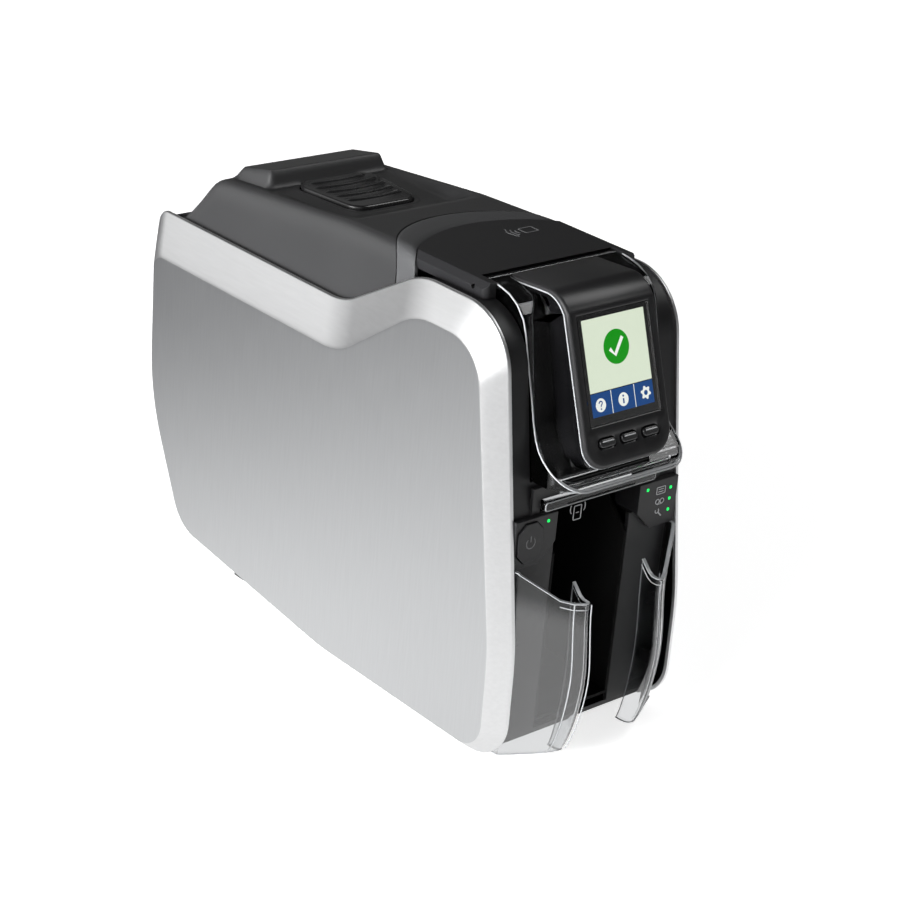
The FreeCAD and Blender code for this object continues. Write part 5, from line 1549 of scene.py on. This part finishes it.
@dataclass
class ReleasePad:
    """Push pad of the lid: a soft-edged plate with five curved ridges, on its stem."""

    plan: PadPlan = field(default_factory=PadPlan)
    low_z: float = 278.5
    plate_z: float = 282.3
    soft: float = 1.8
    sunk: float = 0.2
    rib_r: float = 90.0
    count: int = 5
    columns: int = 30
    margin: float = 3.5
    rear_margin: float = 4.0
    rear_run: Point2 = (19.0, 10.0)
    thin_run: float = 4.0
    stem_half: float = 4.0
    stem_low: float = 268.1
    profile: tuple[Point2, ...] = ((0.0, -0.2), (0.1, 0.7), (0.35, 1.05), (0.8, 1.2), (1.8, 1.1), (3.4, 0.7),
                                   (5.0, 0.2), (6.2, -0.2))

    def build(self) -> None:
        """Makes the pad."""
        shell = Shell()
        plan = self.plan
        shell.pillow(plan.corners(), plan_place, self.low_z, self.plate_z, self.soft, 0, 10)
        run = plan.rear_y - plan.front_y - plan.corner
        for i in range(self.count):
            self._ridge(shell, plan.front_y + plan.corner / 2 + run * (i + 0.5) / self.count)
        stem = rounded(stud(0.0, (plan.front_y + plan.rear_y) / 2, self.stem_half, 1.2), 4)
        shell.prism(stem, plan_place, self.stem_low, self.low_z)
        shell.piece("lid_release_pad", "release_pad", "gloss_black", ["pad_satin"], ["release_pad"])

    def _ridge(self, shell: Shell, start: float) -> None:
        """One ridge: steep in front, gently falling behind, thinning out at its ends."""
        plan = self.plan
        wide = plan.half * (1 - plan.taper * (plan.rear_y - start) / (plan.rear_y - plan.front_y)) - self.margin
        wide -= self.rear_margin * ease(start, *(plan.rear_y - run for run in self.rear_run))
        rows = []
        for run, rise in self.profile:
            line = []
            for k in range(self.columns + 1):
                x = wide * (2 * k / self.columns - 1)
                y = start + self.rib_r - math.sqrt(self.rib_r ** 2 - x * x) + run
                thin = ease(wide - abs(x), 0.0, self.thin_run)
                line.append((x, y, self.plate_z - self.sunk + (rise + self.sunk) * thin))
            rows.append(shell.row(line))
        shell.skin(rows + rows[:1])


@dataclass
class RearDetails:
    """Screws of the rear cover with dark strokes that paint the shade of their cross recesses, contacts of the
    network socket and the jack's pin.
    """

    screw_x: float = 56.0
    screw_heights: Point2 = (160.0, 218.0)
    head_r: float = 3.2
    head_h: float = 1.6
    recess: float = 1.7
    shank_r: float = 1.3
    shank: float = 6.0
    port_z: float = 156.0
    net_x: float = 22.0
    contacts: int = 8
    pitch: float = 1.02
    contact_half: float = 0.22
    contact_z: Point2 = (4.0, 4.9)
    jack_x: float = -38.0
    pin_half: float = 1.05
    wall_y: float = 198.5
    wall_foot: float = 115.0
    lean: float = 0.01176

    def build(self) -> None:
        """Makes the rear pieces."""
        screws = Shell()
        for x in (-self.screw_x, self.screw_x):
            for z in self.screw_heights:
                self._screw(screws, x, z)
        finishes = ("plated_steel", "cavity_black")
        screws.piece("rear_cover_screws", "printer", "plated_steel", finishes, ["cover_screws"])
        contacts = Shell()
        for k in range(self.contacts):
            x = self.net_x + self.pitch * (k - (self.contacts - 1) / 2)
            low, high = (self.port_z + up for up in self.contact_z)
            strip = oblong(x - self.contact_half, x + self.contact_half, low, high)
            contacts.prism(strip, front_place, self.wall_y - 9.0, self.wall_y - 1.2)
        contacts.piece("network_contacts", "printer", "socket_metal", ["contact_gold"])
        pin = Shell()
        line = stud(self.jack_x, self.port_z, self.pin_half, self.pin_half - 0.01)
        pin.pillow(line, front_place, self.wall_y - 13.1, self.wall_y - 2.5, 0.5)
        pin.piece("jack_pin", "printer", "chip_black", ["plated_steel"])

    def _screw(self, shell: Shell, x: float, z: float) -> None:
        """One pan-head screw, seated on the leaning cover."""
        seat = self.wall_y + (z + self.head_r - self.wall_foot) * self.lean
        top = seat + self.head_h
        shell.pillow(stud(x, z, self.head_r, self.head_r - 0.01), front_place, seat, top, 0.9)
        shell.prism(ring(x, z, self.shank_r, 12), front_place, seat - self.shank, seat)
        # Dark strokes standing proud on the head paint the shade of the cross recess.
        for du, dv in ((self.recess, 0.0), (0.0, self.recess)):
            shell.stroke([(x - du, z - dv), (x + du, z + dv)], 0.75, front_place, top - 0.3, top + 0.03, 1)


@dataclass
class StatusLights:
    """Softly domed lenses of the five light pipes."""

    face_y: float = -166.97
    side_x: float = 61.0
    side_heights: tuple[float, ...] = (155.0, 147.5, 140.0)
    slot_x: float = 41.0
    slot_z: float = 157.5
    half: float = 1.0
    corner: float = 0.8
    side_deep: float = 5.0
    slot_deep: float = 20.0
    proud: float = 0.3
    soft: float = 0.6

    def build(self) -> None:
        """Makes the lenses."""
        shell = Shell()
        places = [(self.side_x, z, self.side_deep) for z in self.side_heights]
        places += [(x, self.slot_z, self.slot_deep) for x in (-self.slot_x, self.slot_x)]
        for x, z, deep in places:
            corners = stud(x, z, self.half, self.corner)
            shell.pillow(corners, front_place, self.face_y + deep, self.face_y - self.proud, self.soft, 0, 5)
        shell.piece("status_lenses", "printer", "green_light", ["green_light"], ["status_lights"])


class Sign(Shell):
    """One printed pictogram: strokes of one thickness on a flat face."""

    def __init__(self, place: Placer, low: float, high: float) -> None:
        """Starts empty on the face between two depths."""
        super().__init__()
        self.place, self.low, self.high = place, low, high

    def draw(self, line: Sequence[Point2], wide: float, closed: bool = False) -> None:
        """Adds one stroke."""
        self.stroke(line, wide, self.place, self.low, self.high, 0, closed)

    def card(self, u0: float, u1: float, v0: float, v1: float, radius: float, wide: float) -> None:
        """Adds the outline of a card with round corners."""
        self.draw(rounded(plate(u0, u1, v0, v1, radius), 4 if radius > 1.0 else 3), wide, True)


@dataclass
class Signs:
    """Plain pictograms: contactless reader, card feed, status icons and power mark."""

    cover_z: float = 291.0
    face_y: float = -166.97
    proud: float = 0.15
    button_deep: float = 1.2
    slot_deep: float = 3.0
    reader: Point2 = (22.0, -54.0)
    status_x: float = 52.5
    power: Point2 = (-55.0, 147.0)
    feed: Point2 = (-15.0, 155.4)

    def build(self) -> None:
        """Makes the pictograms."""
        self._reader()
        self._status()
        self._power()
        self._feed()

    def _front(self, deep: float) -> Sign:
        """A sign on a front face that lies deep behind the fascia."""
        return Sign(front_place, self.face_y + deep + 0.05, self.face_y + deep - self.proud)

    def _reader(self) -> None:
        """Waves and card on the reader cover."""
        sign = Sign(plan_place, self.cover_z - 0.05, self.cover_z + self.proud)
        x, y = self.reader
        for radius in (4.0, 7.0, 10.0):
            sign.draw(arc(x, y, radius, 222.0, -84.0, 10), 0.9)
        sign.card(x + 0.5, x + 11.0, y - 4.0, y + 4.0, 1.2, 0.9)
        sign.piece("reader_pictogram", "printer", "black_case", ["mark_grey"])

    def _status(self) -> None:
        """Three icons beside the status lights: card, ribbon and service."""
        sign = self._front(0.0)
        x = self.status_x
        sign.card(x - 3.6, x + 3.6, 152.6, 157.2, 0.5, 0.55)
        for u, z in ((2.2, 155.7), (2.2, 154.1), (1.9, 145.6)):
            sign.draw([(x - u, z), (x + u, z)], 0.5)
        for u in (-1.9, 1.9):
            sign.draw(ring(x + u, 147.5, 1.6, 18), 0.55, True)
        sign.draw(arc(x - 1.4, 141.2, 1.5, 150.0, 260.0, 12), 0.6)
        sign.draw([(x - 0.4, 140.1), (x + 2.6, 137.2)], 0.9)
        sign.piece("status_pictograms", "printer", "black_case", ["mark_white"])

    def _power(self) -> None:
        """Ring and bar on the power button."""
        sign = self._front(-self.button_deep)
        x, z = self.power
        sign.draw(arc(x, z, 3.4, 50.0, -280.0, 24), 0.8)
        sign.draw([(x, z + 0.6), (x, z + 4.6)], 0.8)
        sign.piece("power_pictogram", "power_button", "black_case", ["mark_grey"])

    def _feed(self) -> None:
        """Card between two turning arrows under the feed slot."""
        sign = self._front(self.slot_deep)
        x, z = self.feed
        sign.card(x - 3.0, x + 3.0, z - 4.6, z + 4.6, 0.6, 0.6)
        sign.draw([(x - 1.2, z), (x + 1.2, z)], 0.5)
        for way in (-1, 1):
            turns = [math.radians(20 + 120 * k / 8) for k in range(9)]
            sign.draw([(x + way * (4.4 + 1.6 * math.sin(a)), z + 3.2 - 3.2 * math.cos(a)) for a in turns], 0.55)
        sign.piece("feed_pictogram", "printer", "black_case", ["mark_white"])


@dataclass
class Studio:
    """Pale floor, soft lights and the camera at the photograph's angle."""

    azimuth: float = -42.382
    elevation: float = 23.917
    roll: float = 5.117
    focal: float = 2331.055
    image: float = 900.0
    sensor: float = 36.0
    eye: Corner = (-915.457, -1034.456, 742.545)
    aim: Corner = (0.0, 0.0, 0.14)
    floor_reach: float = 14.0
    floor_grey: float = 0.82
    glow_run: Point2 = (0.9, 2.4)
    glow_near: float = 0.72
    glow_far: float = 1.1
    pool: Corner = (0.0, -0.4, 0.0)
    pool_run: Point2 = (0.42, 1.2)
    pool_bright: Colour = (0.95, 0.95, 0.95)
    pool_dim: Colour = (0.14, 0.14, 0.145)
    horizon: float = 0.3
    lamps: tuple[tuple[str, Corner, float, float], ...] = (
        ("key_light", (-1.9, -0.3, 1.0), 1.2, 26.0), ("top_light", (0.95, -0.45, 1.45), 0.7, 5.0),
        ("rim_light", (0.9, 1.5, 1.5), 1.0, 0.8), ("side_light", (-2.0, 0.15, 0.27), 0.6, 120.0))

    def build(self) -> None:
        """Makes floor, world, lamps and camera."""
        self._camera()
        self._floor()
        self._world()
        for name, place, size, power in self.lamps:
            self._lamp(name, place, size, power)
        bpy.data.objects["side_light"].visible_glossy = False

    def _camera(self) -> None:
        """The camera as fitted to the photograph."""
        az, el, roll = (math.radians(a) for a in (self.azimuth, self.elevation, self.roll))
        back = Vector((math.sin(az) * math.cos(el), -math.cos(az) * math.cos(el), math.sin(el)))
        right = Vector((math.cos(az), math.sin(az), 0.0))
        up = back.cross(right)
        side = right * math.cos(roll) + up * math.sin(roll)
        top = up * math.cos(roll) - right * math.sin(roll)
        data = bpy.data.cameras.new("photo_camera")
        data.lens = self.focal / self.image * self.sensor
        data.sensor_width = self.sensor
        data.clip_start, data.clip_end = 0.05, 50.0
        camera = bpy.data.objects.new("photo_camera", data)
        turn = Matrix((side, top, back)).transposed().to_4x4()
        camera.matrix_world = Matrix.Translation(Vector(self.eye) * MM) @ turn
        bpy.context.scene.collection.objects.link(camera)
        bpy.context.scene.camera = camera

    @staticmethod
    def _by_ray(g: Graph, lit: Field, shown: Field, mirrored_look: Field) -> Field:
        """One shader for light, one for the camera and clear pieces, one for reflections.

        Args:
            g: the node tree.
            lit: shader for all other rays.
            shown: shader for the camera, also through clear pieces.
            mirrored_look: shader for reflections.

        Returns:
            The mixed shader.
        """
        shader = lit
        for ray, look in (("Camera", shown), ("Transmission", shown), ("Glossy", mirrored_look)):
            share = g.node("ShaderNodeLightPath", output=f"Is {ray} Ray")
            shader = g.node("ShaderNodeMixShader", None, {0: share, 1: shader, 2: look})
        return shader

    def _floor(self) -> None:
        """A wide pale floor that shows as white to the camera."""
        mesh = bpy.data.meshes.new("studio_floor")
        reach = self.floor_reach
        mesh.from_pydata([(x, y, 0.0) for x, y in oblong(-reach, reach, -reach, reach)], [], [(3, 2, 1, 0)])
        floor = bpy.data.objects.new("studio_floor", mesh)
        bpy.context.scene.collection.objects.link(floor)
        g = Graph("studio_floor")
        matt = g.node("ShaderNodeBsdfDiffuse", None, {"Color": (self.floor_grey,) * 3})
        far = g.node("ShaderNodeVectorMath", {"operation": "DISTANCE"}, {0: g.place(), 1: self.pool}, "Value")
        light = g.mix(far.step(*self.glow_run), (self.glow_near,) * 3, (self.glow_far,) * 3)
        glow = g.node("ShaderNodeEmission", None, {"Color": light})
        both = g.node("ShaderNodeAddShader", None, {0: matt, 1: glow})
        tone = g.mix(far.step(*self.pool_run), self.pool_bright, self.pool_dim)
        pool = g.node("ShaderNodeEmission", None, {"Color": tone})
        g.node("ShaderNodeOutputMaterial", None, {"Surface": self._by_ray(g, matt, both, pool)})
        mesh.materials.append(materials["studio_floor"])

    def _world(self) -> None:
        """White surroundings; reflections see a bright horizon and a darker ceiling."""
        world = bpy.data.worlds.new("studio_world")
        bpy.context.scene.world = world
        g = Graph(world)
        way = g.node("ShaderNodeTexCoord", output="Generated")
        height, aside = g.axis("Z", way), g.axis("X", way)
        horizon = (1.0 - height.step(0.02, 0.2)) * self.horizon
        left = (0.0 - aside).step(0.2, 0.6) * (1.0 - height.step(0.5, 0.85))
        share = g.node("ShaderNodeMath", {"operation": "MAXIMUM"}, {0: horizon, 1: left})
        tones = (g.mix(height.step(-0.1, 0.7), (0.75, 0.75, 0.75), (0.10, 0.10, 0.10)), EVEN,
                 g.mix(share, (0.03, 0.03, 0.03), EVEN))
        looks = [g.node("ShaderNodeBackground", None, {"Color": tone}) for tone in tones]
        g.node("ShaderNodeOutputWorld", None, {"Surface": self._by_ray(g, *looks)})

    def _lamp(self, name: str, place: Corner, size: float, power: float) -> None:
        """One square area lamp aimed at the object's middle."""
        data = bpy.data.lights.new(name, "AREA")
        data.size = size
        data.energy = power
        lamp = bpy.data.objects.new(name, data)
        lamp.location = place
        lamp.rotation_mode = "QUATERNION"
        lamp.rotation_quaternion = (Vector(self.aim) - Vector(place)).to_track_quat("-Z", "Y")
        bpy.context.scene.collection.objects.link(lamp)


def main() -> None:
    """Builds the scene piece by piece."""
    logging.basicConfig(level=logging.INFO, format="%(name)s: %(message)s")
    for finish in FINISHES:
        finish.material()
    dress_frame()
    for part in (SidePanels(), Lid(), Band(), Bezel(), Screen(), MenuKeys(), Guards(), DoorHighlightBeads(), Visor(),
                 ReleasePad(), RearDetails(), StatusLights(), Signs()):
        log.info("building %s", type(part).__name__)
        part.build()
    Studio().build()
    bpy.context.scene.view_settings.view_transform = "Standard"


if __name__ == "__main__":
    main()
